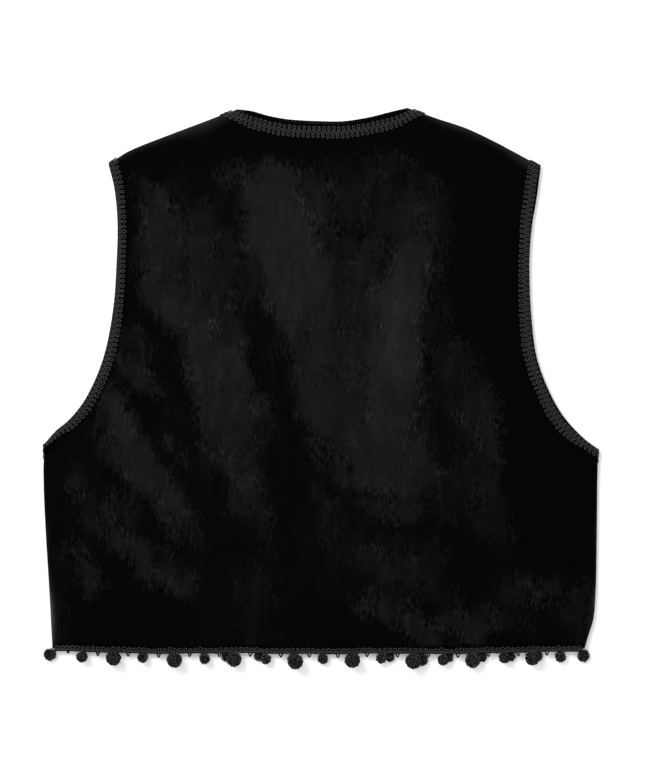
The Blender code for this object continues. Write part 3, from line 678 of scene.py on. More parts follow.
# %% Velvet and its backing
def node(tree, kind, **settings):
    """A shader node with some of its settings."""
    made = tree.nodes.new(kind)
    for name, value in settings.items():
        setattr(made, name, value)
    return made


def noise_on(tree, stretch, scale, detail):
    """Noise on the cloth's own coordinates, stretched along an axis."""
    place = node(tree, "ShaderNodeTexCoord")
    mapping = node(tree, "ShaderNodeMapping")
    mapping.inputs["Scale"].default_value = stretch
    texture = node(tree, "ShaderNodeTexNoise")
    texture.inputs["Scale"].default_value = scale
    texture.inputs["Detail"].default_value = detail
    tree.links.new(place.outputs["Object"], mapping.inputs["Vector"])
    tree.links.new(mapping.outputs["Vector"], texture.inputs["Vector"])
    return texture.outputs["Fac"]


def math_node(tree, operation, first, second):
    """A math node fed by sockets or numbers."""
    made = node(tree, "ShaderNodeMath", operation=operation)
    for slot, value in enumerate((first, second)):
        if isinstance(value, (int, float)):
            made.inputs[slot].default_value = value
        else:
            tree.links.new(value, made.inputs[slot])
    return made.outputs[0]


def ramp_node(tree, source, stops):
    """A colour ramp with its stops."""
    made = node(tree, "ShaderNodeValToRGB")
    ramp = made.color_ramp
    while len(ramp.elements) < len(stops):
        ramp.elements.new(1.0)
    for element, (place, colour) in zip(ramp.elements, stops):
        element.position = place
        element.color = (*colour, 1.0)
    tree.links.new(source, made.inputs["Fac"])
    return made.outputs["Color"]


def add_bump(tree, shader, source, strength, depth):
    """Small relief from a pattern."""
    bump = node(tree, "ShaderNodeBump")
    bump.inputs["Strength"].default_value = strength
    bump.inputs["Distance"].default_value = depth
    tree.links.new(source, bump.inputs["Height"])
    tree.links.new(bump.outputs["Normal"], shader.inputs["Normal"])


# tones above 1 come from the painted highlights and sheen
BRIGHTEST_TONE = 1.6
EVEN_PART = 0.72
TUFT_CONTRAST = 2.5
VELVET_TONES = [
    (0.0, (0.0001, 0.0001, 0.0001)),
    (0.25, (0.0008, 0.0008, 0.0008)),
    (0.5, (0.0027, 0.0027, 0.00275)),
    (0.75, (0.0050, 0.0049, 0.0052)),
    (1.0, (0.0086, 0.0083, 0.0091)),
    (1.6, (0.0290, 0.0285, 0.0295)),
]
velvet, shader = paint("velvet", (0.006, 0.006, 0.007), 1.0)
tree = velvet.node_tree
# the attribute holds the nap tone with its painted sheen, shade and highlights
nap_and_light_tone = node(tree, "ShaderNodeAttribute", attribute_name="nap_and_light").outputs["Fac"]
ruffle = node(tree, "ShaderNodeAttribute", attribute_name="ruffle").outputs["Fac"]
streaks = noise_on(tree, (1.0, 0.22, 1.0), 720.0, 2.0)
blotches = noise_on(tree, (1.0, 0.6, 1.0), 170.0, 3.0)
grain = noise_on(tree, (1.0, 0.7, 1.0), 1500.0, 1.0)
lively = EVEN_PART
for pattern, part in ((streaks, 0.14), (blotches, 0.30), (grain, 0.12)):
    lively = math_node(tree, "ADD", math_node(tree, "MULTIPLY", pattern, part), lively)
tone = math_node(tree, "MULTIPLY", nap_and_light_tone, lively)
tufts = noise_on(tree, (1.0, 0.4, 1.0), 480.0, 2.0)
flecks = math_node(tree, "MULTIPLY", math_node(tree, "SUBTRACT", tufts, 0.5), ruffle)
tone = math_node(tree, "ADD", tone, math_node(tree, "MULTIPLY", flecks, TUFT_CONTRAST))
tone = math_node(tree, "DIVIDE", tone, BRIGHTEST_TONE)
stops = [(step / BRIGHTEST_TONE, colour) for step, colour in VELVET_TONES]
tree.links.new(ramp_node(tree, tone, stops), shader.inputs["Base Color"])
add_bump(tree, shader, math_node(tree, "ADD", grain, streaks), 0.12, 0.25 * MM)
shader.inputs["Specular IOR Level"].default_value = 0.03
shader.inputs["Sheen Weight"].default_value = 0.012
shader.inputs["Sheen Roughness"].default_value = 0.35

backing, shader = paint("velvet_backing", (0.004, 0.004, 0.004), 0.95)
tree = backing.node_tree
woven = math_node(tree, "MULTIPLY", noise_on(tree, (1.0, 0.15, 1.0), 1100.0, 1.0),
                  noise_on(tree, (0.15, 1.0, 1.0), 1100.0, 1.0))
WEAVE_TONES = [(0.1, (0.002, 0.002, 0.002)), (0.4, (0.009, 0.009, 0.009))]
tree.links.new(ramp_node(tree, woven, WEAVE_TONES), shader.inputs["Base Color"])
add_bump(tree, shader, woven, 0.5, 0.2 * MM)
shader.inputs["Specular IOR Level"].default_value = 0.05
print("velvet and backing painted")

# %% [markdown]
# Now the grid becomes cloth. The flat grid is extruded once into a closed wall, then every
# point moves to its place on the outer or the inner face. The inner face gets the woven
# backing, and each point keeps its nap tone, painted sheen and shade included, for the velvet to
# read.

# %% Cloth from a grid of spots
SHARP_ANGLE = 55


def closed_wall(inner_points, outer_points, down, across):
    """A closed wall between two faces of points, its outer points and their order."""
    bm = bmesh.new()
    bmesh.ops.create_grid(bm, x_segments=across, y_segments=down, size=0.5)
    lifted = bmesh.ops.extrude_face_region(bm, geom=bm.faces[:])["geom"]
    outer = {part for part in lifted if isinstance(part, bmesh.types.BMVert)}
    order = []
    for vert in bm.verts:
        column = round((vert.co.x + 0.5) * across)
        row = round((vert.co.y + 0.5) * down)
        index = row * (across + 1) + column
        vert.co = (outer_points if vert in outer else inner_points)[index]
        order.append(index)
    bmesh.ops.recalc_face_normals(bm, faces=bm.faces[:])
    return bm, outer, order


def sew_panel(name, panel, spots, nap_and_light, ruffle):
    """A closed cloth wall on a panel's spots."""
    points, out, open_gap, _ = panel.face(spots.reshape(-1, 2))
    short = LIP - np.minimum(open_gap, LIP)
    lip = LIP - np.sqrt(LIP ** 2 - short ** 2)
    bm, outer, order = closed_wall(points - out * (WALL - lip)[:, None],
                                   points - out * lip[:, None],
                                   spots.shape[0] - 1, spots.shape[1] - 1)
    for face in bm.faces:
        face.material_index = 0 if any(vert in outer for vert in face.verts) else 1
    mesh = bpy.data.meshes.new(name)
    bm.to_mesh(mesh)
    bm.free()
    mesh.materials.append(velvet)
    mesh.materials.append(backing)
    for kind, values in (("nap_and_light", nap_and_light), ("ruffle", ruffle)):
        mesh.attributes.new(kind, "FLOAT", "POINT").data.foreach_set("value", values[order])
    mesh.shade_smooth()
    mesh.set_sharp_from_angle(angle=math.radians(SHARP_ANGLE))
    return link(bpy.data.objects.new(name, mesh))


def cloth_area(piece):
    """Area of one side of a closed wall of cloth."""
    return sum(face.area for face in piece.data.polygons) / 2


back_cloth = sew_panel("back_cloth", back_panel, back_spots, back_nap_and_light, back_ruffle)
print("back", len(back_cloth.data.polygons), "cells,", round(cloth_area(back_cloth), 4), "m2")

# %% [markdown]
# The fronts are sewn the same way, on coarser grids, because they lie underneath. Their pile
# faces down, and their nap has a few plain strokes of its own.

# %% The fronts
FRONT_CELL = 3.6 * MM
FRONT_NAP = {
    "left": [(170, 230, 210, 520, 62, 40, 0.24), (140, 220, 186, 420, 10, 32, 0.52),
             (88, 470, 150, 560, 8, 22, 0.46), (160, 566, 236, 610, 18, 6, 0.34),
             (242, 330, 254, 540, 30, 12, 0.42), (206, 420, 224, 560, 6, 14, 0.12)],
    "right": [(470, 230, 430, 520, 58, 44, 0.22), (504, 220, 452, 420, 12, 28, 0.50),
              (566, 462, 506, 560, 10, 20, 0.44), (492, 570, 420, 616, 16, 6, 0.34),
              (388, 350, 380, 540, 14, 28, 0.40), (432, 430, 416, 560, 7, 12, 0.12)],
}
front_turned = insets(TURN_INSETS, FRONT_CELL, 4)
front_lipped = insets(LIP_INSETS, FRONT_CELL, 5)
front_cloth = {}
for hand in HANDS:
    top_run = spread(shoulder_line[hand].length, front_turned, front_lipped, 44)
    hem_run = spread(front_hem_line[hand].length, front_turned, front_lipped, 44)
    side_run = spread(side_line[hand].length, front_lipped, front_lipped, 42)
    arm_run = spread(front_armhole_line[hand].length, front_lipped, front_turned, 68)
    outside = along([(side_line[hand], side_run), (front_armhole_line[hand], arm_run)])
    rest = len(outside) - 1 - (len(front_lipped) - 1) - (len(front_turned) - 1)
    edge = front_edge_line[hand]
    inside = edge.at(spread(edge.length, front_lipped, front_turned, rest))
    spots = fill(front_hem_line[hand].at(hem_run), shoulder_line[hand].at(top_run),
                 outside, inside)
    pin_all(spots, front_turned, front_lipped, front_lipped, front_turned)
    tone = brushed_sheen_and_shade(spots.reshape(-1, 2), [NapLightStroke(*row) for row in FRONT_NAP[hand]])
    ruffle = ruffled(spots, tone, FRONT_CELL)
    tone = mottled(spots.reshape(-1, 2), tone)
    front_cloth[hand] = sew_panel("front_cloth_" + hand, front_panel[hand], spots, tone, ruffle)
    print("front", hand, round(cloth_area(front_cloth[hand]), 4), "m2")

# %% [markdown]
# Scroll gimp is a flat braid of one stiff cord that runs in loops on both sides of a plait.
# Each loop is a teardrop that crosses itself at its foot. A curve that swings out and back
# while it moves on draws such loops, so one long path makes a whole row, and its bevel makes
# the cord. The path is worked out as run along the edge, inset from it and height off the
# cloth, and is then laid on the cloth. At a seam the braid turns down over the fold to meet
# the braid of the other panel.

# %% Laying a trim on the cloth
BRAID_GAP = 0.3 * MM
NECK_MARGIN = 4.5 * MM
ARMHOLE_MARGIN = 0.3 * MM
BRAID_TURN = 16.0 * MM
FRONT_BRAID_START = 10.0 * MM
OVER_BEND = 0.85 * MM
OVER_LENGTH = OVER_BEND * math.pi / 2 + WALL
TAPE_CELL = 2.2 * MM

End = namedtuple("End", "place seam spread")


def lay(panel, line, ends, run, inset, height):
    """Points of a trim from its run along a line, its inset and its height off the cloth."""
    side = line.side_of(panel.middle)
    inside = np.clip(run, 0.0, line.length)
    heading = line.heading(inside)
    square = np.stack([-heading[:, 1], heading[:, 0]], axis=1) * side
    spots = line.at(inside) + square * inset[:, None]
    for end in ends:
        share = 1.0 - ease(np.abs(inside - end.place) / BRAID_TURN)
        slanted = end.seam(inset * end.spread) + line.at(inside) - line.at(end.place)
        spots = spots + (slanted - spots) * share[:, None]
    points, out, _, inward = panel.face(spots)
    over = np.maximum(np.maximum(-run, run - line.length), 0.0)
    angle = np.clip(over / (OVER_BEND * math.pi / 2), 0.0, 1.0) * math.pi / 2
    away = np.column_stack([-inward, np.zeros(len(run))])
    lifted = out * np.cos(angle)[:, None] + away * np.sin(angle)[:, None]
    laid = points + lifted * height[:, None]
    laid[:, 2] -= panel.up * np.maximum(over - OVER_BEND * math.pi / 2, 0.0)
    return laid


def seam_ends(hand):
    """Ways along the seams from each end of the braids."""
    side, shoulder = side_line[hand], shoulder_line[hand]
    return {
        "underarm": (lambda d: side.at(side.length - d), 1.4),
        "tip": (lambda d: shoulder.at(d), 1.0),
        "neck": (lambda d: shoulder.at(shoulder.length - d), 1.1),
    }


Cord = namedtuple("Cord", "points radius yarn")


def cords(name, paths, yarns, sides, tape):
    """Round cords along paths of points, and the tape under them, as one mesh."""
    curve = bpy.data.curves.new(name, "CURVE")
    curve.dimensions = "3D"
    curve.bevel_depth = 1.0
    curve.bevel_resolution = sides
    curve.use_fill_caps = True
    for yarn_used in yarns:
        curve.materials.append(yarn_used)
    for cord in paths:
        spline = curve.splines.new("POLY")
        spline.points.add(len(cord.points) - 1)
        ones = np.ones(len(cord.points))
        lifted = np.maximum(cord.points[:, 2], cord.radius)
        corners = np.column_stack([cord.points[:, :2], lifted, ones])
        spline.points.foreach_set("co", corners.ravel())
        spline.points.foreach_set("radius", ones * cord.radius)
        spline.material_index = cord.yarn
    holder = link(bpy.data.objects.new(name, curve))
    mesh = bpy.data.meshes.new_from_object(holder)
    bpy.data.objects.remove(holder)
    bpy.data.curves.remove(curve)
    mesh.name = name
    bm = bmesh.new()
    bm.from_mesh(mesh)
    bmesh.ops.recalc_face_normals(bm, faces=bm.faces[:])
    bm.from_mesh(tape)
    bpy.data.meshes.remove(tape)
    bm.to_mesh(mesh)
    bm.free()
    mesh.shade_smooth()
    return link(bpy.data.objects.new(name, mesh))


def tape_form(place, start, stop, low, high, level, thick, yarn):
    """A flat woven tape, laid by place(run, inset, height)."""
    runs = np.linspace(start, stop, max(2, round((stop - start) / TAPE_CELL)))
    run = np.tile(runs[:, None], (1, 4)).ravel()
    inset = np.tile(np.linspace(low, high, 4), len(runs))
    inner = place(run, inset, np.full(len(run), level))
    outer = place(run, inset, np.full(len(run), level + thick))
    bm, _, _ = closed_wall(inner, outer, len(runs) - 1, 3)
    for face in bm.faces:
        face.material_index = yarn
    mesh = bpy.data.meshes.new("tape")
    bm.to_mesh(mesh)
    bm.free()
    return mesh


print("a braid turns", round(OVER_LENGTH * 1000, 1), "mm over the seam")

# %% [markdown]
# The cord of the gimp is rayon wound on cotton: a little glossier than the pile, almost black
# with a faint olive cast. Its windings are finer than the view can show, so a fine noise with
# bump stands for them.

# %% Gimp and pompom yarn
def yarn(name, dark, light, scale, roughness, specular, spread=0.15):
    """Black yarn with fine fibres, its tone spread about the middle of a noise."""
    made, shader = paint(name, light, roughness)
    tree = made.node_tree
    fibres = noise_on(tree, (1.0, 1.0, 1.0), scale, 2.0)
    tree.links.new(ramp_node(tree, fibres, [(0.5 - spread, dark), (0.5 + spread, light)]),
                   shader.inputs["Base Color"])
    add_bump(tree, shader, fibres, 0.6, 0.15 * MM)
    shader.inputs["Specular IOR Level"].default_value = specular
    return made


gimp_yarn = yarn("gimp_yarn", (0.0105, 0.0105, 0.0095), (0.0245, 0.0245, 0.0220),
                 2600.0, 0.5, 0.2)
plait_yarn = yarn("plait_yarn", (0.0022, 0.0022, 0.0020), (0.0100, 0.0100, 0.0090),
                  1700.0, 0.6, 0.15)
tape_yarn = yarn("tape_yarn", (0.0006, 0.0006, 0.0006), (0.0030, 0.0030, 0.0028),
                 1500.0, 0.8, 0.06)
curl_yarn = yarn("curl_yarn", (0.0006, 0.0006, 0.0006), (0.0430, 0.0430, 0.0410),
                 700.0, 0.8, 0.08, spread=0.05)
# near-black yarn of the core: painted shade between the curls
core_shade_yarn = yarn("core_shade_yarn", (0.0008, 0.0008, 0.0008), (0.003, 0.003, 0.003),
                 1800.0, 0.9, 0.05)
YARNS = (gimp_yarn, plait_yarn, tape_yarn)
GIMP, PLAIT, TAPE = range(3)
print("yarns for gimp, plait, tape and pompoms")

# %% [markdown]
# A row of loops: the path swings along by SWING and out by LOOP_HEIGHT once each pitch. The
# rows on the two sides of the plait are shifted against each other, and every loop differs a
# little, as on real braid. The plait in the middle is three thinner cords that change places.

# %% Scroll gimp
LOOP_PITCH = 4.45 * MM
LOOP_HEIGHT = 4.5 * MM
LOOP_FOOT = 0.6 * MM
LOOP_SWING = 2.15 * MM
LOOP_SHIFT = 0.3
GIMP_CORD = 0.48 * MM
PLAIT_PITCH = 4.9 * MM
PLAIT_SWING = 0.95 * MM
PLAIT_CORD = 0.36 * MM
CORD_HEIGHT = BRAID_GAP + 0.5 * MM
TAPE_LEVEL = 0.28 * MM
TAPE_THICK = 0.22 * MM
TAPE_HALF = 1.5 * MM
RUN_STEPS = 400
LOOP_RIPPLE = 0.12 * MM
PLAIT_LEVEL = 0.1 * MM
PLAIT_RIPPLE = 0.3 * MM


def true_runs(place, start, stop, inset):
    """Runs along a line, and the true length walked at an inset."""
    run = np.linspace(start, stop, RUN_STEPS)
    path = place(run, np.full(RUN_STEPS, inset), np.full(RUN_STEPS, CORD_HEIGHT))
    steps = np.linalg.norm(np.diff(path, axis=0), axis=1)
    return run, np.concatenate([[0.0], np.cumsum(steps)])


def loop_row(place, start, stop, middle, way, tall, shift, steps, seed):
    """One row of teardrop loops on one side of the plait."""
    run, walked = true_runs(place, start, stop, middle + way * (LOOP_FOOT + tall / 2))
    turn = np.arange(0.0, walked[-1] / LOOP_PITCH, 1.0 / steps)
    angle = (turn + shift) * 2 * math.pi
    chance = np.random.default_rng(seed)
    loop = np.floor(turn + shift).astype(int)
    swing = LOOP_SWING * chance.normal(1.0, 0.06, loop.max() + 1)[loop]
    tall = tall * chance.normal(1.0, 0.05, loop.max() + 1)[loop]
    reach = turn * LOOP_PITCH + swing * np.sin(angle)
    out = LOOP_FOOT + tall * (1.0 - np.cos(angle)) / 2
    height = CORD_HEIGHT + LOOP_RIPPLE * np.sin(angle)
    points = place(np.interp(reach, walked, run), middle + way * out, height)
    return Cord(points, GIMP_CORD, GIMP)


def plait_cords(place, start, stop, middle, steps):
    """Three cords that change places along the middle of the braid."""
    runs, walked = true_runs(place, start, stop, middle)
    reach = np.arange(0.0, walked[-1], PLAIT_PITCH / steps)
    run = np.interp(reach, walked, runs)
    found = []
    for third in range(3):
        angle = reach / PLAIT_PITCH * 2 * math.pi + third * 2 * math.pi / 3
        inset = middle + PLAIT_SWING * np.sin(angle)
        height = CORD_HEIGHT + PLAIT_LEVEL + PLAIT_RIPPLE * np.sin(2 * angle)
        found.append(Cord(place(run, inset, height), PLAIT_CORD, PLAIT))
    return found


def gimp(name, panel, line, margin, ends, outer=LOOP_HEIGHT, steps=12, sides=1,
         start=-OVER_LENGTH, taper=(1.0, 1.0), shifts=((0.0, 0.0),)):
    """Scroll gimp along a line of a panel, its outer loops as tall as asked.

    The taper narrows it at its start, where it slips over the edge of the cloth. Shifts move
    it in from the edge, or back out, by millimetres at places along the line."""
    stop = line.length + OVER_LENGTH
    middle = margin + GIMP_CORD + outer + LOOP_FOOT

    def place(run, inset, height):
        shown = taper[0] + (1.0 - taper[0]) * np.clip(run / taper[1], 0.0, 1.0)
        shift = np.interp(run / MM, *zip(*shifts)) * MM
        inward = np.clip(inset / middle, 0.0, 1.0)
        moved = inset + shift * np.where(shift > 0.0, 0.5 + 0.5 * inward, inward)
        return lay(panel, line, ends, run, moved * shown, height)

    seed = len(name) * 7 + steps
    paths = [loop_row(place, start, stop, middle, 1.0, LOOP_HEIGHT, 0.0, steps, seed),
             loop_row(place, start, stop, middle, -1.0, outer, LOOP_SHIFT, steps, seed + 1)]
    paths += plait_cords(place, start, stop, middle, steps - 4)
    low = middle - TAPE_HALF if outer == LOOP_HEIGHT else margin + 0.1 * MM
    tape = tape_form(place, start, stop, low, middle + TAPE_HALF, TAPE_LEVEL, TAPE_THICK, TAPE)
    piece = cords(name, paths, YARNS, sides, tape)
    print(name, len(piece.data.polygons), "faces")
    return piece


seam_way = {hand: seam_ends(hand) for hand in HANDS}
gimp_neck = gimp("gimp_neck", back_panel, neck_line, NECK_MARGIN,
                 [End(0.0, *seam_way["left"]["neck"]),
                  End(neck_line.length, *seam_way["right"]["neck"])])
ARMHOLE_OUTER = 2.9 * MM
# share of its width that the braid keeps at the underarm, and where it is full again
UNDERARM_TAPER = {"left": (0.22, 31.0 * MM), "right": (0.55, 24.0 * MM)}
# places along the armhole and the shift there, in millimetres
ARMHOLE_SHIFTS = {
    "left": [(10, 0.0), (30, -0.8), (50, 0.0), (125, 0.0), (150, -1.2), (225, -2.0),
             (250, -1.0), (272, -0.3)],
    "right": [(10, 0.2), (36, 2.2), (52, 2.5), (68, 1.5), (122, 1.7), (147, 0.9), (172, 0.4),
              (198, 0.0), (223, 1.6), (248, 2.5), (274, 2.7)],
}
gimp_back_arm, gimp_front_arm, gimp_front_edge = {}, {}, {}
for hand in HANDS:
    way = seam_way[hand]
    line = armhole_line[hand]
    gimp_back_arm[hand] = gimp("gimp_armhole_back_" + hand, back_panel, line, ARMHOLE_MARGIN,
                               [End(0.0, *way["underarm"]), End(line.length, *way["tip"])],
                               outer=ARMHOLE_OUTER, taper=UNDERARM_TAPER[hand],
                               shifts=ARMHOLE_SHIFTS[hand])
    line = front_armhole_line[hand]
    gimp_front_arm[hand] = gimp("gimp_armhole_front_" + hand, front_panel[hand], line,
                                ARMHOLE_MARGIN, [End(0.0, *way["underarm"]),
                                                 End(line.length, *way["tip"])],
                                outer=ARMHOLE_OUTER, steps=10, sides=0)
    line = front_edge_line[hand]
    gimp_front_edge[hand] = gimp("gimp_front_edge_" + hand, front_panel[hand], line, NECK_MARGIN,
                                 [End(line.length, *way["neck"])], steps=10, sides=0,
                                 start=FRONT_BRAID_START)

# %% [markdown]
# The hem trim is a narrow gimp with one row of round loops. A heading cord runs under the
# loops, small points of cord stand between the pompoms, and each pompom hangs on a short wrapped
# stem. The pompoms lie on the surface, and those of the back lean on those of the fronts, so
# their heights come first.

# %% Places of the pompoms
TRIM_END = 2.0 * MM
PICOT_WIDTH = 3.2 * MM
PICOT_DROP = 3.5 * MM
PICOT_CORD = 0.68 * MM
FLOOR_GAP = 0.3 * MM
BACK_SQUASH = 0.8
FRONT_SQUASH = 0.5
BALL_CLEARANCE = 0.7 * MM
Ball = namedtuple("Ball", "x y radius")
BACK_BALLS = [Ball(*row) for row in (
    (-215.0, -241.7, 4.9), (-186.6, -242.4, 6.6), (-160.7, -242.6, 4.5), (-131.9, -244.3, 6.8),
    (-104.9, -243.5, 4.7), (-78.6, -243.7, 6.8), (-50.0, -243.8, 4.6), (-23.3, -245.8, 6.8),
    (1.3, -243.8, 4.6), (27.7, -244.4, 6.8), (53.7, -243.4, 4.6), (82.4, -245.3, 7.1),
    (109.2, -244.6, 4.8), (135.7, -244.9, 6.7), (164.1, -242.6, 5.0), (189.4, -242.6, 6.6),
    (214.8, -242.0, 4.8),
)]
FRONT_PLACES = {
    "left": [(-244.2, -240.2, 5.6), (-214.6, -242.0, 4.1), (-187.0, -244.4, 5.8),
             (-160.2, -242.4, 4.1), (-132.6, -244.6, 5.9), (-105.4, -242.6, 4.2),
             (-85.6, -242.2, 4.4), (-56.6, -242.0, 4.1), (-25.0, -244.8, 5.9)],
    "right": [(27.0, -244.6, 5.8), (61.6, -242.6, 4.3), (90.0, -244.6, 5.7),
              (114.8, -243.0, 4.0), (144.4, -242.4, 4.4), (170.4, -242.2, 4.1),
              (194.8, -242.0, 4.3), (235.6, -241.2, 5.6)],
}
FRONT_BALLS = {hand: [Ball(*row) for row in FRONT_PLACES[hand]] for hand in HANDS}


def ball_heights(balls, squash, below=(), below_squash=1.0):
    """Height of each pompom's middle: on the floor, or on the pompoms under it."""
    heights = []
    for ball in balls:
        level = FLOOR_GAP + ball.radius * MM * squash
        for low, low_level in below:
            flat = math.hypot(ball.x - low.x, ball.y - low.y) * MM
            reach = (ball.radius + low.radius) * MM + BALL_CLEARANCE
            tall = (ball.radius * squash + low.radius * below_squash) * MM + BALL_CLEARANCE
            if flat < reach:
                level = max(level, low_level + tall * math.sqrt(1.0 - (flat / reach) ** 2))
        heights.append(level)
    return heights


front_heights = {hand: ball_heights(FRONT_BALLS[hand], FRONT_SQUASH) for hand in FRONT_BALLS}
under_balls = [pair for hand in FRONT_BALLS
               for pair in zip(FRONT_BALLS[hand], front_heights[hand])]
back_heights = ball_heights(BACK_BALLS, BACK_SQUASH, under_balls, FRONT_SQUASH)
print("pompoms of the back lie", round(min(back_heights) * 1000, 1), "to",
      round(max(back_heights) * 1000, 1), "mm high")

# %% [markdown]
# A pompom of curly yarn is a ball covered in small loops. One loop is made by spinning a tiny
# square section through a little more than half a turn. It is then set all over the ball, each
# copy turned and sized by a seeded chance, so no two look alike and each run gives the same.

# %% Curly pompoms
CURL_RADIUS = 0.8 * MM
CURL_YARN = 0.33 * MM
CURLS_PER_AREA = 0.46
COAT = 1.45 * MM
FLUFF = 0.45 * MM
HUNG_CLOSE = 0.9 * MM
CORE_SPARE = 0.25 * MM
CURL_ARC = 200
CURL_LEAN = 10
# the 80 faces of the core, and the lowest curls of the pompom before it, stay darker; the dark
# core is painted shade inside the pompom
SHADED_CORE_FACES = 320
FRONT_THIN = 0.6


def curl_form():
    """One small loop of yarn that stands on its two ends."""
    bm = bmesh.new()
    turn = Matrix.Translation((CURL_RADIUS, 0.0, 0.0))
    ring = bmesh.ops.create_circle(bm, segments=4, radius=CURL_YARN, cap_ends=True, matrix=turn)
    bmesh.ops.spin(bm, geom=list({f for v in ring["verts"] for f in v.link_faces}),
                   cent=(0.0, 0.0, 0.0), axis=(0.0, -1.0, 0.0), angle=math.radians(CURL_ARC),
                   steps=5, use_duplicate=False)
    bmesh.ops.rotate(bm, verts=bm.verts[:], cent=(0.0, 0.0, 0.0),
                     matrix=Matrix.Rotation(math.radians(CURL_LEAN), 3, "Y"))
    bmesh.ops.recalc_face_normals(bm, faces=bm.faces[:])
    mesh = bpy.data.meshes.new("curl")
    bm.to_mesh(mesh)
    bm.free()
    return mesh


def pompom_into(bm, curl, ball, height, squash, thin, chance):
    """A pompom: a ball core under a coat of curls."""
    middle = Vector((ball.x * MM, ball.y * MM + HUNG_CLOSE, height))
    flatten = Matrix.Diagonal((1.0, 1.0, squash, 1.0))
    core = ball.radius * MM + FLUFF - COAT
    bmesh.ops.create_icosphere(bm, subdivisions=2, radius=core + CORE_SPARE,
                               matrix=Matrix.Translation(middle) @ flatten)
    bm.faces.ensure_lookup_table()
    # painted shade: the near-black core shows as dark gaps between the curls
    for face in bm.faces[-SHADED_CORE_FACES:]:
        face.material_index = 1
    count = round(CURLS_PER_AREA * thin * 4 * math.pi * ball.radius ** 2)
    for k in range(count):
        level = 1.0 - 2.0 * (k + 0.5) / count
        round_about = k * math.pi * (3.0 - math.sqrt(5.0)) + chance.normal(0.0, 0.1)
        flat = math.sqrt(1.0 - level * level)
        way = Vector((flat * math.cos(round_about), flat * math.sin(round_about), level))
        spot = middle + flatten @ (way * (core + chance.uniform(-0.1, 0.45) * MM))
        aim = way.to_track_quat("Z", "Y").to_matrix().to_4x4()
        twist = Euler((chance.normal(0, 0.35), chance.normal(0, 0.35),
                       chance.uniform(0, 2 * math.pi))).to_matrix().to_4x4()
        size = Matrix.Scale(chance.uniform(0.8, 1.25), 4)
        copy = curl.copy()
        copy.transform(Matrix.Translation(spot) @ aim @ twist @ size)
        bm.from_mesh(copy)
        bpy.data.meshes.remove(copy)


def pompoms(name, balls, heights, squash, thin, seed):
    """All pompoms of one trim as one piece."""
    curl = curl_form()
    chance = np.random.default_rng(seed)
    bm = bmesh.new()
    for ball, height in zip(balls, heights):
        pompom_into(bm, curl, ball, height, squash, thin, chance)
    for vert in bm.verts:
        vert.co.z = max(vert.co.z, 0.1 * MM)
    bpy.data.meshes.remove(curl)
    mesh = bpy.data.meshes.new(name)
    bm.to_mesh(mesh)
    bm.free()
    mesh.materials.append(curl_yarn)
    mesh.materials.append(core_shade_yarn)
    mesh.shade_smooth()
    print(name, len(mesh.polygons), "faces")
    return link(bpy.data.objects.new(name, mesh))


pompoms_back = pompoms("pompoms_back", BACK_BALLS, back_heights, BACK_SQUASH, 1.0, 11)
pompoms_front = {hand: pompoms("pompoms_front_" + hand, FRONT_BALLS[hand], front_heights[hand],
                               FRONT_SQUASH, FRONT_THIN, 12) for hand in FRONT_BALLS}

# %% [markdown]
# The band of the trim is laid on the cloth like the gimp, with its insets counted inwards from
# the hem. It hangs a little below the cloth, where it keeps the height of the hem.

# %% Hem gimp
RING_PITCH = 4.6 * MM
RING_HEIGHT = 3.6 * MM
RING_LOW = -0.85 * MM
RING_SWING = 2.65 * MM
RING_CORD = 0.46 * MM
STEM_CORD = 1.3 * MM
HEM_SWAY = 0.3 * MM
SWAY_WAVES = (21.0 * MM, 8.5 * MM)
HEADING_INSET = -1.7 * MM
HEADING_CORD = 0.4 * MM
HEADING_STEP = 2.2 * MM
HEADING_RIPPLE = 0.08 * MM
RING_RIPPLE = 0.1 * MM
MARK_STEPS = 900
PICOT_TOP = -1.6 * MM
STEM_TOP = -1.0 * MM
HEM_TAPE = (-1.9 * MM, 1.6 * MM)


def hem_points(panel, line, run, inset, height):
    """Points laid on the hem, or hung below it at the hem's own height."""
    side = line.side_of(panel.middle)
    heading = line.heading(run)
    inward = np.stack([-heading[:, 1], heading[:, 0]], axis=1) * side
    spots = line.at(run) + inward * inset[:, None]
    level = panel.face(line.at(np.array([line.length / 2])))[0][0, 2]
    return np.column_stack([spots, level + panel.up * height])


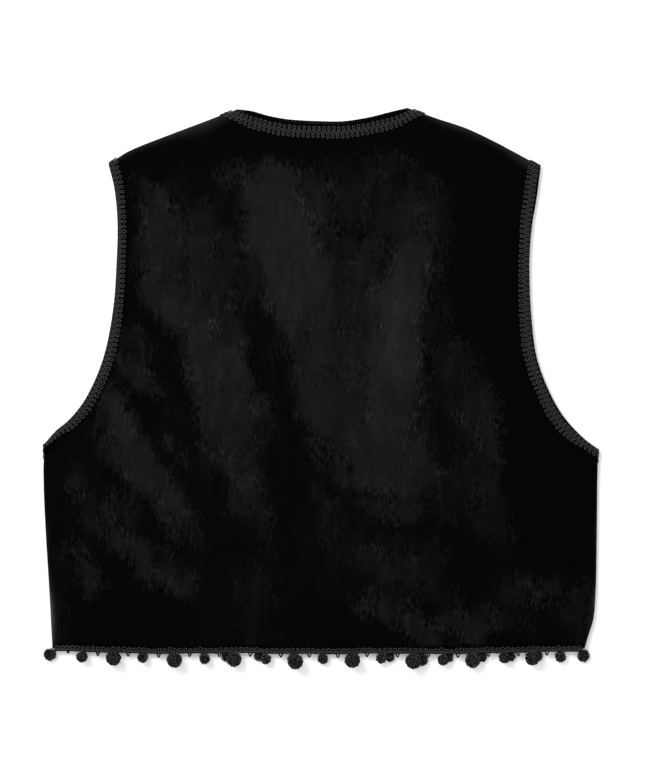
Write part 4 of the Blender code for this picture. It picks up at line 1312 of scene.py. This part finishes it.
def hem_gimp(name, panel, line, balls, heights, steps, sides):
    """Round loops on a tape, points and stems along a hem."""
    def place(run, inset, height):
        sway = np.sin(run / SWAY_WAVES[0]) + 0.7 * np.sin(run / SWAY_WAVES[1])
        return hem_points(panel, line, run, inset + HEM_SWAY * sway, height)

    start, stop = TRIM_END, line.length - TRIM_END
    turn = np.arange(0.0, (stop - start) / RING_PITCH, 1.0 / steps)
    angle = turn * 2 * math.pi
    chance = np.random.default_rng(steps)
    loop = np.floor(turn).astype(int)
    swing = RING_SWING * chance.normal(1.0, 0.09, loop.max() + 1)[loop]
    tall = RING_HEIGHT * chance.normal(1.0, 0.10, loop.max() + 1)[loop]
    run = np.clip(start + turn * RING_PITCH + swing * np.sin(angle), start, stop)
    inset = tall * (1.0 - np.cos(angle)) / 2 + RING_LOW
    height = CORD_HEIGHT + RING_RIPPLE * np.sin(angle)
    paths = [Cord(place(run, inset, height), RING_CORD, GIMP)]
    straight = np.arange(start, stop, HEADING_STEP)
    level = CORD_HEIGHT + HEADING_RIPPLE * np.sin(straight / (1.4 * MM))
    heading = place(straight, np.full(len(straight), HEADING_INSET), level)
    paths.append(Cord(heading, HEADING_CORD, TAPE))
    steps_along = np.linspace(0.0, line.length, MARK_STEPS)

    def mark(ball):
        """Run at which a pompom hangs."""
        return steps_along[np.abs(line.at(steps_along)[:, 0] - ball.x * MM).argmin()]

    marks = sorted(mark(ball) for ball in balls)
    for a, b in zip(marks, marks[1:]):
        point = (a + b) / 2 + PICOT_WIDTH * np.array([-0.5, -0.3, -0.1, 0.1, 0.3, 0.5])
        drop = PICOT_TOP - (PICOT_DROP - 0.1 * MM) * np.array([0.0, 0.5, 0.95, 0.95, 0.5, 0.0])
        paths.append(Cord(place(point, drop, np.full(6, CORD_HEIGHT)), PICOT_CORD, PLAIT))
    for ball, level in zip(balls, heights):
        near = min(max(mark(ball), start + STEM_CORD), stop - STEM_CORD)
        top = place(np.array([near]), np.array([STEM_TOP]), np.array([CORD_HEIGHT]))[0]
        middle = np.array((ball.x * MM, ball.y * MM + HUNG_CLOSE, level))
        paths.append(Cord(np.array([top, top * 0.5 + middle * 0.5, middle]), STEM_CORD, PLAIT))
    tape = tape_form(place, start, stop, *HEM_TAPE, TAPE_LEVEL, TAPE_THICK, TAPE)
    piece = cords(name, paths, YARNS, sides, tape)
    print(name, len(piece.data.polygons), "faces")
    return piece


hem_back = hem_gimp("hem_gimp_back", back_panel, hem_line, BACK_BALLS, back_heights, 12, 1)
hem_front = {hand: hem_gimp("hem_gimp_front_" + hand, front_panel[hand], front_hem_line[hand],
                            FRONT_BALLS[hand], front_heights[hand], 10, 0)
             for hand in FRONT_BALLS}

# %% [markdown]
# Last, every piece is tied to the model's root body, and the solid that it stands for is hidden.

# %% Tie the pieces to the model
def stands_for(piece, solid):
    """A piece that takes the place of a solid, which is hidden."""
    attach(piece, "root")
    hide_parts(solid)


stands_for(back_cloth, "back")
stands_for(gimp_neck, "braid_neck")
stands_for(hem_back, "trim_back")
stands_for(pompoms_back, "trim_back")
for hand in HANDS:
    stands_for(front_cloth[hand], "front_" + hand)
    stands_for(gimp_back_arm[hand], "braid_armhole_back_" + hand)
    stands_for(gimp_front_arm[hand], "braid_armhole_front_" + hand)
    stands_for(gimp_front_edge[hand], "braid_front_" + hand)
    stands_for(hem_front[hand], "trim_front_" + hand)
    stands_for(pompoms_front[hand], "trim_front_" + hand)

# %% Measure and finish
total = sum(len(piece.data.loops) - 2 * len(piece.data.polygons)
            for piece in bpy.data.objects if piece.type == "MESH" and not piece.hide_render)
